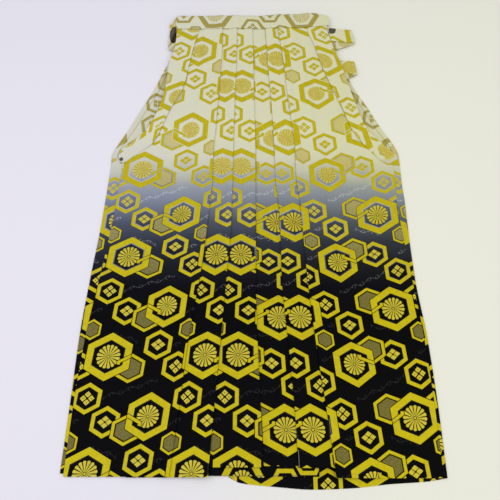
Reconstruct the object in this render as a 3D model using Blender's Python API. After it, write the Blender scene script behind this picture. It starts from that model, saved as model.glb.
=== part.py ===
"""Hakama: divided, pleated trousers of brocade, laid flat on the floor with the front up.

Metres, +Z up, +X to the right of the picture, +Y from the hem to the waist. The tables are in
millimetres, with x from the garment's midline and y above the lowest hem.
"""
import bpy
import bmesh
from mathutils import Vector

MM = 0.001
WALL = 1.0  # every cloth wall
GAP = 0.3  # clearance between pieces, and between the two sides of a pressed fold
PITCH = WALL + GAP  # from one layer's middle to the next one's
FOLD_R = PITCH / 2  # a pressed fold turns about this radius
SLOPE = 12.0  # a layer comes down over this width past the end of what it lies on

# How high the front's lowest layer lies above the floor
ON_BACK = PITCH
TIES_RISE = 4.7  # over the board and the folded ties, from the slit up
TIES_FROM, TIES_FULL = 640.0, 700.0
BAND_RISE = PITCH  # over the band's back wall
BAND_FROM, BAND_FULL = 870.0, 918.0
GORE_RISE = 2 * PITCH
GORE_TOP, GORE_FADE = 505.0, 550.0
GORE_LEFT, GORE_RIGHT = (-150.0, -92.0), (215.0, 140.0)  # where that rise begins and is full

# The front: its outer edges, the inner edges of its side leaves, and the five pleats' fold edges
FRONT_COLUMNS = ("y", "edge_l", "leaf_l", "p1", "p2", "p3", "p4", "p5", "leaf_r", "edge_r")
FRONT_ROWS = (
    (940, -162, -114.5, -65.5, -34.5, -1.0, 28.5, 55.0, 117, 160),
    (918, -162, -114.5, -65.5, -34.5, -1.0, 28.5, 55.0, 117, 160),
    (870, -164, -124.5, -65.0, -34.5, 0.0, 31.0, 60.5, 131, 170),
    (820, -175, -132.5, -66.5, -35.0, 0.5, 33.0, 66.0, 143, 185),
    (764, -179, -142.0, -69.0, -36.5, 1.5, 36.5, 70.0, 162, 198),
    (711, -190, -165.5, -72.0, -37.5, 2.5, 39.5, 75.0, 180, 211),
    (665, -211, -182.5, -74.5, -38.5, 3.5, 41.5, 80.0, 197, 227),
    (630, -244, -200.0, -77.5, -39.0, 4.0, 43.0, 83.5, 218, 257),
    (604, -262, -210.0, -78.0, -39.5, 4.5, 44.0, 84.0, 228, 272),
    (585, -254, -210.0, -78.5, -39.5, 4.5, 44.0, 84.0, 228, 272),
    (550, -256, -212.0, -78.5, -39.5, 4.5, 44.5, 84.5, 230, 274.5),
    (505, -259, -214.0, -81.5, -40.5, 4.5, 49.0, 89.5, 232, 273),
    (450, -264, -218.0, -85.5, -41.5, 4.5, 51.5, 92.5, 234, 276.5),
    (350, -276.5, -226.0, -96.0, -48.5, 4.0, 52.5, 98.0, 240, 286),
    (240, -291, -236.0, -112.0, -56.5, 6.5, 60.5, 107.5, 250, 296),
    (120, -299, -246.0, -123.5, -65.5, 11.5, 69.0, 121.0, 256, 301),
    (16, -302.5, -252.0, -134.5, -72.5, 15.5, 72.5, 131.5, 260, 302.5),
)
HIDDEN_PAST = 0.1  # a pleat's hidden fold lies this share of its strip past the next fold edge
NEAR = 1e-6  # two places closer than this are the same one
# The hem of each run of the front, from one fold to the next
HEM_Y = {"s0": 17, "r1": 20, "s1": 16, "r2": 26, "s2": 31, "r3": 35,
         "s3": 33, "r4": 33, "s4": 30, "r5": 22, "s5": 15}

# The side leaves (the front's edges folded forward) below the rows that they share with the front
LEAF_COLUMNS = ("y", "inner", "outer")
LEAF_SHARED = 630
LEAF_TIP_LEFT = ((618, -215, -260), (604, -232, -262.5), (590, -248, -260))
LEAF_TIP_RIGHT = ((616, 229, 271), (604, 238, 282), (592, 250, 285), (584, 262, 283))

# The back: its outer edges, and where the cloth that turns forward round each edge ends
BACK_COLUMNS = ("y", "edge_l", "turn_l", "seam", "turn_r", "edge_r")
BACK_ROWS = (
    (841.5, -172, -166, 0, 170, 176),
    (810, -184.5, -177, 0, 183, 190),
    (764, -201.5, -192, 0, 201, 209),
    (711, -226.5, -216.5, 0, 226, 235.5),
    (665, -247.5, -237.5, 0, 248, 257.5),
    (630, -265.5, -256, 0, 268.5, 277),
    (604, -276, -266, 0, 276.5, 285.5),
    (585, -275.5, -254.3, 0, 272.3, 285.5),
    (550, -277, -256.3, 0, 274.8, 285.5),
    (505, -279.5, -259.3, 0, 273.3, 287.5),
    (450, -283, -264.3, -4, 276.8, 288),
    (350, -292.5, -276.8, -12, 286.3, 291),
    (240, -300.5, -291.3, -21, 296.3, 301),
    (120, -304, -299.3, -31, 301.3, 306),
    (16, -307.5, -302.8, -40, 302.8, 307.5),
)
BACK_HEM_LEFT = ((-308, 22), (-220, 21), (-40, 20))
BACK_HEM_RIGHT = ((-40, 17), (-22, 8), (35, 2), (95, -2), (155, 0), (216, 6), (277, 10), (308, 15))
BACK_ACROSS = 5  # strips between the back's seam and its edge

# The crotch gore, folded in two between the legs and open to the right
GORE_COLUMNS = ("y", "fold", "open")
GORE_ROWS = ((500, -12, 25), (380, -30, 52), (240, -48, 76), (120, -61, 92), (17, -72, 105))
GORE_UPPER_HEM = 3.0

# The waistband, folded over the front's top edge
BAND_COLUMNS = ("x", "low", "top")
BAND_ROWS = ((-164.5, 918, 951), (-80, 918.5, 956), (0, 920, 957.5), (85, 922, 960),
             (127, 924, 960.5), (164.5, 927, 951))
BAND_TURN = 6.0
BAND_UNDER = 1.0  # the band's back wall stops this much short of its front one
BAND_OVER_EDGE = 946.0

# The ties: the middle line, with the height of the cloth's middle. At a fold the tie turns
# under itself along a crease, and the next run starts one layer lower.
TIE_WIDTH = 34.0
TIE_COLUMNS = ("x", "y", "z", "folds")
TIE_LEFT = ((-164.8, 935, 6.5, False), (-177, 912, 1.8, True), (-163, 872, 4.4, False),
            (-150, 836, 4.4, True), (-124, 817, 3.1, False), (-46, 790, 1.8, False))
TIE_RIGHT = ((164.8, 938, 6.5, False), (209.5, 897, 1.8, True), (183, 861, 4.4, False),
             (165, 836, 4.4, True), (184, 812.5, 3.1, False), (213, 776, 4.4, True),
             (189, 757, 3.1, False), (134, 715, 1.8, False))
CREASE_MOST = 1.6  # a slanted crease is at most this many times the tie's width

# The stiff board at the top of the back, and the back ties folded over it
BOARD_T = 3.0
BOARD_LOW, BOARD_SHOULDER, BOARD_TOP = 841.8, 880.0, 928.0
BOARD_HALF_LOW, BOARD_HALF_TOP = 105.0, 78.0
BOARD_ROUND = 0.8
BACK_TIE_Y = (846.5, 876.5)
BACK_TIE_OUT, BACK_TIE_IN, BACK_TIE_END = 122.0, 12.0, 98.0
BACK_TIE_TURN = 1.0
BACK_TIE_Z = (1.5, 3.8, 5.1)  # its first run rises beside the board

CLOTH = {"ivory": (0.66, 0.62, 0.48), "night": (0.05, 0.05, 0.07), "gold": (0.55, 0.47, 0.14)}


def ramp(value, start, end):
    """0 at start, 1 at end, and straight between them."""
    return min(1.0, max(0.0, (value - start) / (end - start)))


def table(columns, rows):
    return [dict(zip(columns, row)) for row in rows]


def lookup(points, at):
    """The value at a place on a line of (place, value) points."""
    for (a, value_a), (b, value_b) in zip(points, points[1:]):
        if at <= b:
            return value_a + (value_b - value_a) * ramp(at, a, b)
    return points[-1][1]


def column(rows, key):
    """A table's column against its first one, in rising order."""
    first = next(iter(rows[0]))
    return sorted((row[first], row[key]) for row in rows)


def material(name, colour):
    cloth = bpy.data.materials.new(name)
    cloth.use_nodes = True
    shader = cloth.node_tree.nodes["Principled BSDF"]
    shader.inputs["Base Color"].default_value = (*colour, 1.0)
    shader.inputs["Roughness"].default_value = 0.6
    shader.inputs["Metallic"].default_value = 0.0
    return cloth


def new_object(name, bm, colour):
    bmesh.ops.recalc_face_normals(bm, faces=bm.faces)
    mesh = bpy.data.meshes.new(name)
    bm.to_mesh(mesh)
    bm.free()
    mesh.materials.append(material(name, CLOTH[colour]))
    piece = bpy.data.objects.new(name, mesh)
    bpy.context.collection.objects.link(piece)
    return piece


def wall(name, rows, colour):
    """A closed wall about a sheet. A row is a list of (point, way out); all rows are as long."""
    bm = bmesh.new()
    sides = []
    for sign in (1, -1):
        sides.append([[bm.verts.new((Vector(point) + Vector(out) * sign * WALL / 2) * MM)
                       for point, out in row] for row in rows])
    last, end = len(rows) - 1, len(rows[0]) - 1
    for side in sides:
        for i in range(last):
            for j in range(end):
                bm.faces.new((side[i][j], side[i][j + 1], side[i + 1][j + 1], side[i + 1][j]))
    upper, lower = sides
    rim = [(0, j) for j in range(end)] + [(i, end) for i in range(last)]
    rim += [(last, j) for j in range(end, 0, -1)] + [(i, 0) for i in range(last, 0, -1)]
    for (i, j), (k, m) in zip(rim, rim[1:] + rim[:1]):
        bm.faces.new((upper[i][j], upper[k][m], lower[k][m], lower[i][j]))
    bmesh.ops.triangulate(bm, faces=bm.faces)
    return new_object(name, bm, colour)


def bed(x, y):
    """How high the front's lowest layer lies above the floor there."""
    rise = TIES_RISE * ramp(y, TIES_FROM, TIES_FULL) + BAND_RISE * ramp(y, BAND_FROM, BAND_FULL)
    gore = min(ramp(x, *GORE_LEFT), ramp(x, *GORE_RIGHT))
    return ON_BACK + rise + GORE_RISE * gore * ramp(y, GORE_FADE, GORE_TOP)


def spans(row):
    """The runs of the front's folded cloth, lowest first on each side, as (name, low x, high x).

    s0 to s5 are the strips that show, and r1 to r5 the hidden ones under their fold edges.
    """
    w1, w3, w5 = row["p2"] - row["p1"], row["p3"] - row["p2"], row["p5"] - row["p4"]
    h1 = row["p1"] - (1 + HIDDEN_PAST) * w1
    h2 = row["p1"] - HIDDEN_PAST * w1
    h3 = row["p2"] - HIDDEN_PAST * w3
    h4 = row["p5"] + HIDDEN_PAST * w5
    h5 = row["p5"] + (1 + HIDDEN_PAST) * w5
    left = [("s3", h3, h4), ("r3", h3, row["p3"]), ("s2", h2, row["p3"]), ("r2", h2, row["p2"]),
            ("s1", h1, row["p2"]), ("r1", h1, row["p1"]), ("s0", row["edge_l"], row["p1"])]
    right = [("s3", h3, h4), ("r4", row["p4"], h4), ("s4", row["p4"], h5),
             ("r5", row["p5"], h5), ("s5", row["p5"], row["edge_r"])]
    return left, right


def layers_below(x, order, name):
    """How many runs lie under that one at x, each fading out over a slope past its ends."""
    count = 0.0
    for other, low, high in order:
        if other == name:
            break
        count += min(ramp(x, low - SLOPE, low), ramp(x, high + SLOPE, high))
    return count


def front_height(x, row, order, name):
    return bed(x, row["y"]) + WALL / 2 + PITCH * layers_below(x, order, name)


def knots(row, order, side):
    """The places across a row where any layer may bend, so that all bend at the same ones."""
    found = {row["p3"]}
    if side == "left":
        found |= {row["edge_l"], row["leaf_l"], row["p1"], row["p2"]}
    else:
        found |= {row["edge_r"], row["leaf_r"], row["p2"], row["p4"], row["p5"]}
    for name, low, high in order:
        if side == "left" and name in ("s1", "s2", "r3"):
            found |= {low, low - SLOPE}
        if side == "right" and name in ("s4", "s3"):
            found |= {high, high + SLOPE, low}
    return sorted(found)


def folded_row(row, order, side, path):
    """One cross-section of a front panel, run by run, with a turned point at each fold."""
    by_name = {name: (low, high) for name, low, high in order}
    stops = knots(row, order, side)
    hem = row is FRONT[-1]
    points = []
    for number, name in enumerate(path):
        low, high = by_name[name]
        outward = number % 2 == 0
        xs = [x for x in stops if low - NEAR <= x <= high + NEAR]
        if outward != (side == "left"):
            xs.reverse()
        y = HEM_Y[name] if hem else row["y"]
        up = 1 if outward else -1
        points += [((x, y, front_height(x, row, order, name)), (0, 0, up)) for x in xs]
        if number < len(path) - 1:
            (x, _, z), turn = points[-1][0], 1 if xs[-1] > xs[0] else -1
            at = (x + turn * FOLD_R, y, z - FOLD_R)
            points.append((at, (1 if side == "left" else -1, 0, 0)))
    return points


FRONT = table(FRONT_COLUMNS, FRONT_ROWS)
BACK = table(BACK_COLUMNS, BACK_ROWS)


def front_panel(side):
    rows = []
    for row in FRONT:
        left, right = spans(row)
        if side == "left":
            rows.append(folded_row(row, left, side, ("s0", "r1", "s1", "r2", "s2", "r3")))
        else:
            rows.append(folded_row(row, right, side, ("s5", "r5", "s4", "r4", "s3")))
    return wall(f"front_panel_{side}", rows, "night")


def side_leaf(side):
    """The front's edge, folded forward: it lies one layer above the outer strip."""
    edge, inner, name = (("edge_l", "leaf_l", "s0"), ("edge_r", "leaf_r", "s5"))[side == "right"]
    tip = LEAF_TIP_LEFT if side == "left" else LEAF_TIP_RIGHT
    rows = []
    for row in FRONT:
        if row["y"] < LEAF_SHARED:
            continue
        order = spans(row)[side == "right"]
        stops = (row[edge], (row[edge] + row[inner]) / 2, row[inner])
        rows.append([((x, row["y"], front_height(x, row, order, name) + PITCH), (0, 0, 1))
                     for x in stops])
    level = ON_BACK + WALL / 2 + PITCH
    for row in table(LEAF_COLUMNS, tip):
        stops = (row["outer"], (row["outer"] + row["inner"]) / 2, row["inner"])
        rows.append([((x, row["y"], level), (0, 0, 1)) for x in stops])
    return wall(f"side_leaf_{side}", rows, "ivory")


def back_panel(side):
    """The back of one leg, flat on the floor, with its outer edge turned forward."""
    edge, turn = ("edge_l", "turn_l") if side == "left" else ("edge_r", "turn_r")
    out = -1 if side == "left" else 1
    hem_line = BACK_HEM_LEFT if side == "left" else BACK_HEM_RIGHT
    rows = []
    for row in BACK:
        start, stop = row["seam"] + out * GAP / 2, row[edge]
        xs = [start + (stop - start) * k / BACK_ACROSS for k in range(BACK_ACROSS + 1)]
        hem = row is BACK[-1]
        heights = [lookup(hem_line, x) if hem else row["y"] for x in xs]
        line = [((x, y, WALL / 2), (0, 0, -1)) for x, y in zip(xs, heights)]
        line.append(((stop + out * FOLD_R, heights[-1], WALL / 2 + FOLD_R), (out, 0, 0)))
        for x in (stop, row[turn]):
            line.append(((x, heights[-1], WALL / 2 + PITCH), (0, 0, 1)))
        rows.append(line)
    return wall(f"back_panel_{side}", rows, "night")


def crotch_gore():
    """The gusset between the legs, folded once; its edge shows under the front's hem."""
    low = ON_BACK + WALL / 2
    rows = []
    for row in table(GORE_COLUMNS, GORE_ROWS):
        middle = (row["fold"] + row["open"]) / 2
        upper_y = row["y"] + (GORE_UPPER_HEM if row["y"] == GORE_ROWS[-1][0] else 0)
        line = [((x, row["y"], low), (0, 0, -1)) for x in (row["open"], middle, row["fold"])]
        line.append(((row["fold"] - FOLD_R, row["y"], low + FOLD_R), (-1, 0, 0)))
        line += [((x, upper_y, low + PITCH), (0, 0, 1)) for x in (row["fold"], middle, row["open"])]
        rows.append(line)
    return wall("crotch_gore", rows, "night")


def waist_stack(x, row):
    """How many layers the waistband lies on there, side leaf included."""
    left, right = spans(row)
    order = (left if x < row["p3"] else right) + [("top", 0, 0)]
    count = layers_below(x, order, "top")
    if x >= row["p3"]:
        count += sum(ramp(x, high + SLOPE, high) for name, _, high in left[1:3])
    for low, high in ((row["edge_l"], row["leaf_l"]), (row["leaf_r"], row["edge_r"])):
        count += min(ramp(x, low - SLOPE, low), ramp(x, high + SLOPE, high))
    return count


def waistband():
    row = FRONT[1]
    band = table(BAND_COLUMNS, BAND_ROWS)
    lows, tops = column(band, "low"), column(band, "top")
    ends = (band[0]["x"], band[-1]["x"])
    stops = set(ends)
    for _, low, high in spans(row)[0] + spans(row)[1]:
        stops |= {low, low - SLOPE, high, high + SLOPE}
    for key in ("leaf_l", "leaf_r"):
        stops |= {row[key], row[key] - SLOPE, row[key] + SLOPE}
    bed_height = ON_BACK + TIES_RISE + BAND_RISE
    under = bed_height - GAP - WALL / 2
    rows = []
    for x in sorted(s for s in stops if ends[0] <= s <= ends[1]):
        low, top = lookup(lows, x), lookup(tops, x)
        over = bed_height + PITCH * waist_stack(x, row) + WALL / 2
        crest = (under + over) / 2
        rows.append([
            ((x, low + BAND_UNDER, under), (0, 0, -1)),
            ((x, top - BAND_TURN, under), (0, 0, -1)),
            ((x, top, crest), (0, 1, 0)),
            ((x, (BAND_OVER_EDGE + top) / 2, (crest + over) / 2 + PITCH / 2), (0, 0, 1)),
            ((x, BAND_OVER_EDGE, over), (0, 0, 1)),
            ((x, low, over), (0, 0, 1)),
        ])
    return wall("waistband", rows, "gold")


def crease_half(before, after):
    """Half of the crease where a strip that runs one way turns under and runs the other way."""
    crease = before + after
    if crease.length < NEAR:
        crease = Vector((-before.y, before.x))
    crease.normalize()
    sine = abs(crease.x * before.y - crease.y * before.x)
    half = TIE_WIDTH / 2 / max(sine, 1 / CREASE_MOST)
    left = Vector((-before.y, before.x))
    return crease * half * (1 if crease.dot(left) > 0 else -1)


def front_tie(side, route):
    """A tie that leaves the band's end and lies folded behind the front."""
    stops = table(TIE_COLUMNS, route)
    places = [Vector((stop["x"], stop["y"])) for stop in stops]
    ways = [(b - a).normalized() for a, b in zip(places, places[1:])]
    rows, upward = [], 1
    for number, stop in enumerate(stops):
        before = ways[max(number - 1, 0)]
        after = ways[min(number, len(ways) - 1)]
        if stop["folds"]:
            half = crease_half(before, after)
        elif number == 0:
            half = Vector((0, TIE_WIDTH / 2)) * (1 if before.x > 0 else -1)
        else:
            half = Vector((-before.y, before.x)) * TIE_WIDTH / 2
        half *= upward
        spine, z = places[number], stop["z"]
        edges = [spine + half, spine - half]
        rows.append([((p.x, p.y, z), (0, 0, upward)) for p in edges])
        if stop["folds"]:
            out = Vector((-half.y, half.x)).normalized()
            out *= 1 if out.dot(before) > 0 else -1
            rows.append([((p.x + out.x * FOLD_R, p.y + out.y * FOLD_R, z - FOLD_R),
                          (out.x * upward, out.y * upward, 0)) for p in edges])
            upward = -upward
            rows.append([((p.x, p.y, z - PITCH), (0, 0, upward)) for p in edges])
    return wall(f"front_tie_{side}", rows, "gold")


def back_board():
    """The stiff, cloth-covered board at the top of the back."""
    outline = [(-BOARD_HALF_LOW, BOARD_LOW), (BOARD_HALF_LOW, BOARD_LOW),
               (BOARD_HALF_LOW, BOARD_SHOULDER), (BOARD_HALF_TOP, BOARD_TOP),
               (-BOARD_HALF_TOP, BOARD_TOP), (-BOARD_HALF_LOW, BOARD_SHOULDER)]
    bm = bmesh.new()
    base = bm.faces.new([bm.verts.new((x * MM, y * MM, 0)) for x, y in outline])
    lifted = bmesh.ops.extrude_face_region(bm, geom=[base])
    top = [item for item in lifted["geom"] if isinstance(item, bmesh.types.BMVert)]
    bmesh.ops.translate(bm, verts=top, vec=(0, 0, BOARD_T * MM))
    upper_edges = [edge for edge in bm.edges if all(vert in top for vert in edge.verts)]
    bmesh.ops.bevel(bm, geom=upper_edges, offset=BOARD_ROUND * MM, segments=2, affect="EDGES")
    bmesh.ops.triangulate(bm, faces=bm.faces)
    return new_object("back_board", bm, "gold")


def back_tie(side):
    """A tie sewn to the board's end and folded back and forth over the board."""
    out = -1 if side == "left" else 1
    first, second, third = BACK_TIE_Z
    path = [
        (BOARD_HALF_LOW + GAP, first, (0, -1)), (BACK_TIE_OUT, first, (0, -1)),
        (BACK_TIE_OUT + BACK_TIE_TURN, (first + second) / 2, (1, 0)),
        (BACK_TIE_OUT, second, (0, 1)),
        (BACK_TIE_IN, second, (0, 1)), (BACK_TIE_IN - FOLD_R, (second + third) / 2, (1, 0)),
        (BACK_TIE_IN, third, (0, -1)), (BACK_TIE_END, third, (0, -1)),
    ]
    rows = [[((out * x, y, z), (out * way[0], 0, way[1])) for y in BACK_TIE_Y]
            for x, z, way in path]
    return wall(f"back_tie_{side}", rows, "gold")


def centre(pieces):
    """Moves the whole garment so that the middle of its box is over the origin."""
    points = [vert.co for piece in pieces for vert in piece.data.vertices]
    middle = [(min(p[k] for p in points) + max(p[k] for p in points)) / 2 for k in (0, 1)]
    shift = Vector((-middle[0], -middle[1], 0))
    for piece in pieces:
        for vert in piece.data.vertices:
            vert.co += shift


def main():
    for piece in list(bpy.data.objects):
        bpy.data.objects.remove(piece, do_unlink=True)
    pieces = [crotch_gore(), waistband(), back_board()]
    for side, route in (("left", TIE_LEFT), ("right", TIE_RIGHT)):
        pieces += [front_panel(side), side_leaf(side), back_panel(side)]
        pieces += [front_tie(side, route), back_tie(side)]
    centre(pieces)


main()
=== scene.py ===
# %% [markdown]
# # Hakama of brocade, laid flat
#
# A hakama is a pair of divided, pleated trousers. Five pleats are pressed into the front and sewn
# into a waistband, long ties leave the band's ends, and the sides are open from the waist to the
# hip, where the front's edges are folded forward as two leaves. This one lies on a table with its
# front up, so that every layer of it can be seen at the hem and in the slits.
#
# The solids of the frame say where each piece lies. This file dresses them: each solid is replaced
# by a thin shell of cloth with round folds, soft creases and a woven pattern.

import math

import bmesh
import bpy
import numpy as np
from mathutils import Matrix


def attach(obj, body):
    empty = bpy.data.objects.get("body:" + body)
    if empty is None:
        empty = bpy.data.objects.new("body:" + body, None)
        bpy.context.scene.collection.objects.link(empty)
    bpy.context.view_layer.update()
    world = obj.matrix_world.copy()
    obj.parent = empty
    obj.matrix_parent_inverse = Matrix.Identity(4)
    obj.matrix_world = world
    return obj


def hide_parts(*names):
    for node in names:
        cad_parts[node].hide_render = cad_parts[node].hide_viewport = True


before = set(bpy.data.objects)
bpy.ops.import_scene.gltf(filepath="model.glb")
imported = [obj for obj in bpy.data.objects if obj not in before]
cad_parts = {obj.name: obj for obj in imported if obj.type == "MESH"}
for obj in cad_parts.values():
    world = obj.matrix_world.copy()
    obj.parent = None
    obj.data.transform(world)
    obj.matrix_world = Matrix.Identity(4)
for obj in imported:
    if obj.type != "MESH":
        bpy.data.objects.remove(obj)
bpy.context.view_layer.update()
MM = 0.001
HEM_LINE = -0.4794  # where the table's y = 0 lies in the frame
print("nodes:", ", ".join(sorted(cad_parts)))

# %% [markdown]
# ## Camera, floor and light
#
# The camera stands over the hem and looks 68 degrees down, which makes the far end, the waist,
# narrower. The floor is a plain pale sheet, its colour painted a little bluer on one side, as light
# from a window would tint it. Large soft lamps from above leave only faint shadows in the pleats,
# as in a catalogue picture.

# %% Camera
CAMERA_AT = (-0.0055, -0.4794, 1.006)
LOOKS_DOWN = 68.0
FIELD_PIXELS, PICTURE_PIXELS, SENSOR = 590.0, 500.0, 36.0

lens = bpy.data.cameras.new("camera")
lens.sensor_width = SENSOR
lens.lens = SENSOR * FIELD_PIXELS / PICTURE_PIXELS
camera = bpy.data.objects.new("camera", lens)
camera.location = CAMERA_AT
camera.rotation_euler = (math.radians(90 - LOOKS_DOWN), 0, 0)
bpy.context.collection.objects.link(camera)
bpy.context.scene.camera = camera
bpy.context.scene.view_settings.view_transform = "Standard"
print("lens", round(lens.lens, 2), "mm")

# %% [markdown]
# ## Materials are trees of nodes
#
# Each step of a material adds nodes to its tree. With a few short helpers a formula can be written
# as sums, products and comparisons of wires, and the helpers put the math nodes that it needs.

# %% Wires between nodes: their sums, products and comparisons put math nodes in the tree


class Wire:
    """One output of a node."""

    def __init__(self, socket):
        self.socket = socket
        self.tree = socket.id_data

    def __add__(self, other):
        return maths("ADD", self, other)

    def __sub__(self, other):
        return maths("SUBTRACT", self, other)

    def __rsub__(self, other):
        return maths("SUBTRACT", other, self)

    def __mul__(self, other):
        return maths("MULTIPLY", self, other)

    def __truediv__(self, other):
        return maths("DIVIDE", self, other)

    def __lt__(self, other):
        return maths("LESS_THAN", self, other)

    def __gt__(self, other):
        return maths("GREATER_THAN", self, other)

    def __abs__(self):
        return maths("ABSOLUTE", self)


def tree_of(values):
    return next(value.tree for value in values if isinstance(value, Wire))


def give(tree, socket, value):
    """Wires a value to a socket, or sets a plain one there. None leaves the socket alone."""
    if isinstance(value, Wire):
        tree.links.new(value.socket, socket)
    elif value is not None:
        socket.default_value = value


def put(tree, kind, values=(), **settings):
    """Adds a node and returns its outputs. Values go to its inputs in order, or by name from a dict."""
    node = tree.nodes.new(kind)
    for name, value in settings.items():
        setattr(node, name, value)
    if isinstance(values, dict):
        chosen = [(node.inputs[name], value) for name, value in values.items()]
    else:
        chosen = zip(node.inputs, values)
    for socket, value in chosen:
        give(tree, socket, value)
    return [Wire(socket) for socket in node.outputs]


# %% Node helpers on wires
OBJECT_PLACE = 3  # the output of a texture coordinate node that holds the object's own coordinates


def maths(operation, *values):
    return put(tree_of(values), "ShaderNodeMath", values, operation=operation)[0]


def largest(first, second):
    return maths("MAXIMUM", first, second)


def between(value, low, high):
    """1 where the value lies between low and high, and 0 elsewhere."""
    return (value > low) * (value < high)


def wrapped(value, repeat):
    """The value's place in its repeat, from the repeat's middle."""
    return maths("WRAP", value, repeat / 2, -repeat / 2)


def far(across, along):
    """The distance from the origin."""
    return maths("SQRT", across * across + along * along)


def split(place):
    return put(place.tree, "ShaderNodeSeparateXYZ", (place,))


def ranged(value, low, high, first=0.0, last=1.0, **settings):
    """Goes from first to last while the value goes from low to high."""
    return put(value.tree, "ShaderNodeMapRange", (value, low, high, first, last), **settings)[0]


def noise(place, scale, detail, roughness):
    return put(place.tree, "ShaderNodeTexNoise", (place, None, scale, detail, roughness))[0]


def mix(kind, label, share, first, second):
    tree = tree_of((share, first, second))
    node = tree.nodes.new("ShaderNodeMix")
    node.data_type = kind
    for name, value in (("Factor_Float", share), (f"A_{label}", first), (f"B_{label}", second)):
        give(tree, next(s for s in node.inputs if s.identifier == name), value)
    return Wire(next(s for s in node.outputs if s.identifier == f"Result_{label}"))


def mixed(share, first, second):
    """A mix of two colours."""
    return mix("RGBA", "Color", share, first, second)


def either(share, first, second):
    """A mix of two numbers."""
    return mix("FLOAT", "Float", share, first, second)


# %% Node groups, materials and colours


def socket_kind(value):
    if value is None:
        return "NodeSocketVector"
    return "NodeSocketColor" if isinstance(value, tuple) else "NodeSocketFloat"


def group(name, inputs, outputs):
    """A node group with named sockets. Returns it, its inputs, and a call that sends its outputs."""
    tree = bpy.data.node_groups.new(name, "ShaderNodeTree")
    for label, value in inputs.items():
        socket = tree.interface.new_socket(label, in_out="INPUT", socket_type=socket_kind(value))
        if value is not None:
            socket.default_value = value
    for label, value in outputs.items():
        tree.interface.new_socket(label, in_out="OUTPUT", socket_type=socket_kind(value))
    entry = {wire.socket.name: wire for wire in put(tree, "NodeGroupInput")}
    leave = tree.nodes.new("NodeGroupOutput").inputs

    def send(**values):
        for label, value in values.items():
            give(tree, leave[label.replace("_", " ")], value)

    return tree, entry, send


def use(made, **values):
    """Puts a node group in the tree of its inputs, which go in by name, and returns its outputs."""
    tree = tree_of(values.values())
    outputs = put(tree, "ShaderNodeGroup", {name.replace("_", " "): value for name, value in values.items()},
                  node_tree=made)
    return {wire.socket.name: wire for wire in outputs}


def new_material(name, roughness):
    finish = bpy.data.materials.new(name)
    finish.use_nodes = True
    shader = finish.node_tree.nodes["Principled BSDF"]
    shader.inputs["Roughness"].default_value = roughness
    return finish, finish.node_tree, shader.inputs


def linear(red, green, blue):
    """A colour as a screen shows it, 0 to 255, as the light that the shader needs."""
    return tuple(((c / 255 + 0.055) / 1.055) ** 2.4 if c > 10 else c / 3295
                 for c in (red, green, blue)) + (1.0,)


BLACK = linear(0, 0, 0)
print("a middle grey gives", round(linear(128, 128, 128)[0], 3), "of white's light")

# %% Floor and lamps
FLOOR_SIZE, FLOOR_BELOW, FLOOR_ROUGH = 3.0, 0.0002, 0.85
# Painted light: the floor's colour goes from a bluish tint at the left to a creamy one at the right
FLOOR_LEFT_PAINTED_COOL, FLOOR_RIGHT_PAINTED_WARM = linear(234, 229, 240), linear(236, 234, 221)
FLOOR_TURNS = (-0.30, 0.30)  # from the bluish side to the creamy one

floor_finish, tree, shader = new_material("paper_floor", FLOOR_ROUGH)
across = split(put(tree, "ShaderNodeTexCoord")[OBJECT_PLACE])[0]
share = ranged(across, *FLOOR_TURNS, interpolation_type="SMOOTHSTEP")
give(tree, shader["Base Color"], mixed(share, FLOOR_LEFT_PAINTED_COOL, FLOOR_RIGHT_PAINTED_WARM))

floor_mesh = bpy.data.meshes.new("floor")
half = FLOOR_SIZE / 2
floor_mesh.from_pydata([(-half, -half, 0), (half, -half, 0), (half, half, 0), (-half, half, 0)],
                       [], [(0, 1, 2, 3)])
floor_mesh.materials.append(floor_finish)
floor = bpy.data.objects.new("floor", floor_mesh)
floor.location.z = -FLOOR_BELOW
bpy.context.collection.objects.link(floor)

LAMPS = (
    # name, place, size, watts, colour
    ("window", (-1.0, -0.15, 1.6), 1.6, 10.8, (0.89, 0.92, 1.0)),
    ("room", (1.0, -0.35, 1.7), 1.8, 11.4, (1.0, 0.98, 0.86)),
)
for name, at, size, watts, colour in LAMPS:
    lamp = bpy.data.lights.new(name, "AREA")
    lamp.size = size
    lamp.energy = watts
    lamp.color = colour
    lamp_object = bpy.data.objects.new(name, lamp)
    lamp_object.location = at
    toward = -np.array(at)
    lamp_object.rotation_euler = (math.atan2(math.hypot(toward[0], toward[1]), -toward[2]), 0,
                                  math.atan2(toward[1], toward[0]) - math.pi / 2)
    bpy.context.collection.objects.link(lamp_object)

SKY = (0.95, 0.98, 0.99, 1.0)
SKY_STRENGTH = 0.62
world = bpy.data.worlds.new("studio")
world.use_nodes = True
world.node_tree.nodes["Background"].inputs["Color"].default_value = SKY
world.node_tree.nodes["Background"].inputs["Strength"].default_value = SKY_STRENGTH
bpy.context.scene.world = world
print("lamps:", ", ".join(lamp[0] for lamp in LAMPS))

# %% [markdown]
# ## The pattern: tortoiseshell hexagons
#
# The brocade carries an old Japanese pattern: hexagons (kikko) that float over a ground which
# shades from ivory to black. Large ones hold a chrysanthemum of sixteen petals, middle ones hold
# diamond flowers, and small ones are filled with a fine olive weave. Thin sprays of vine run
# between them. It all repeats every 168 mm across the cloth and every 186 mm along it.
#
# It could be painted as an image, but then it would blur close up. Here each hexagon is a formula:
# the distance from its middle, 1 at its outline, so rings and fillings are ranges of one number.
# The shader reads it on the cloth's own coordinates, which follow each strip of the pleats.

# %% One hexagon, repeated over the cloth
REPEAT_ACROSS, REPEAT_ALONG = 0.168, 0.186
HALF_HEX = 0.5

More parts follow.
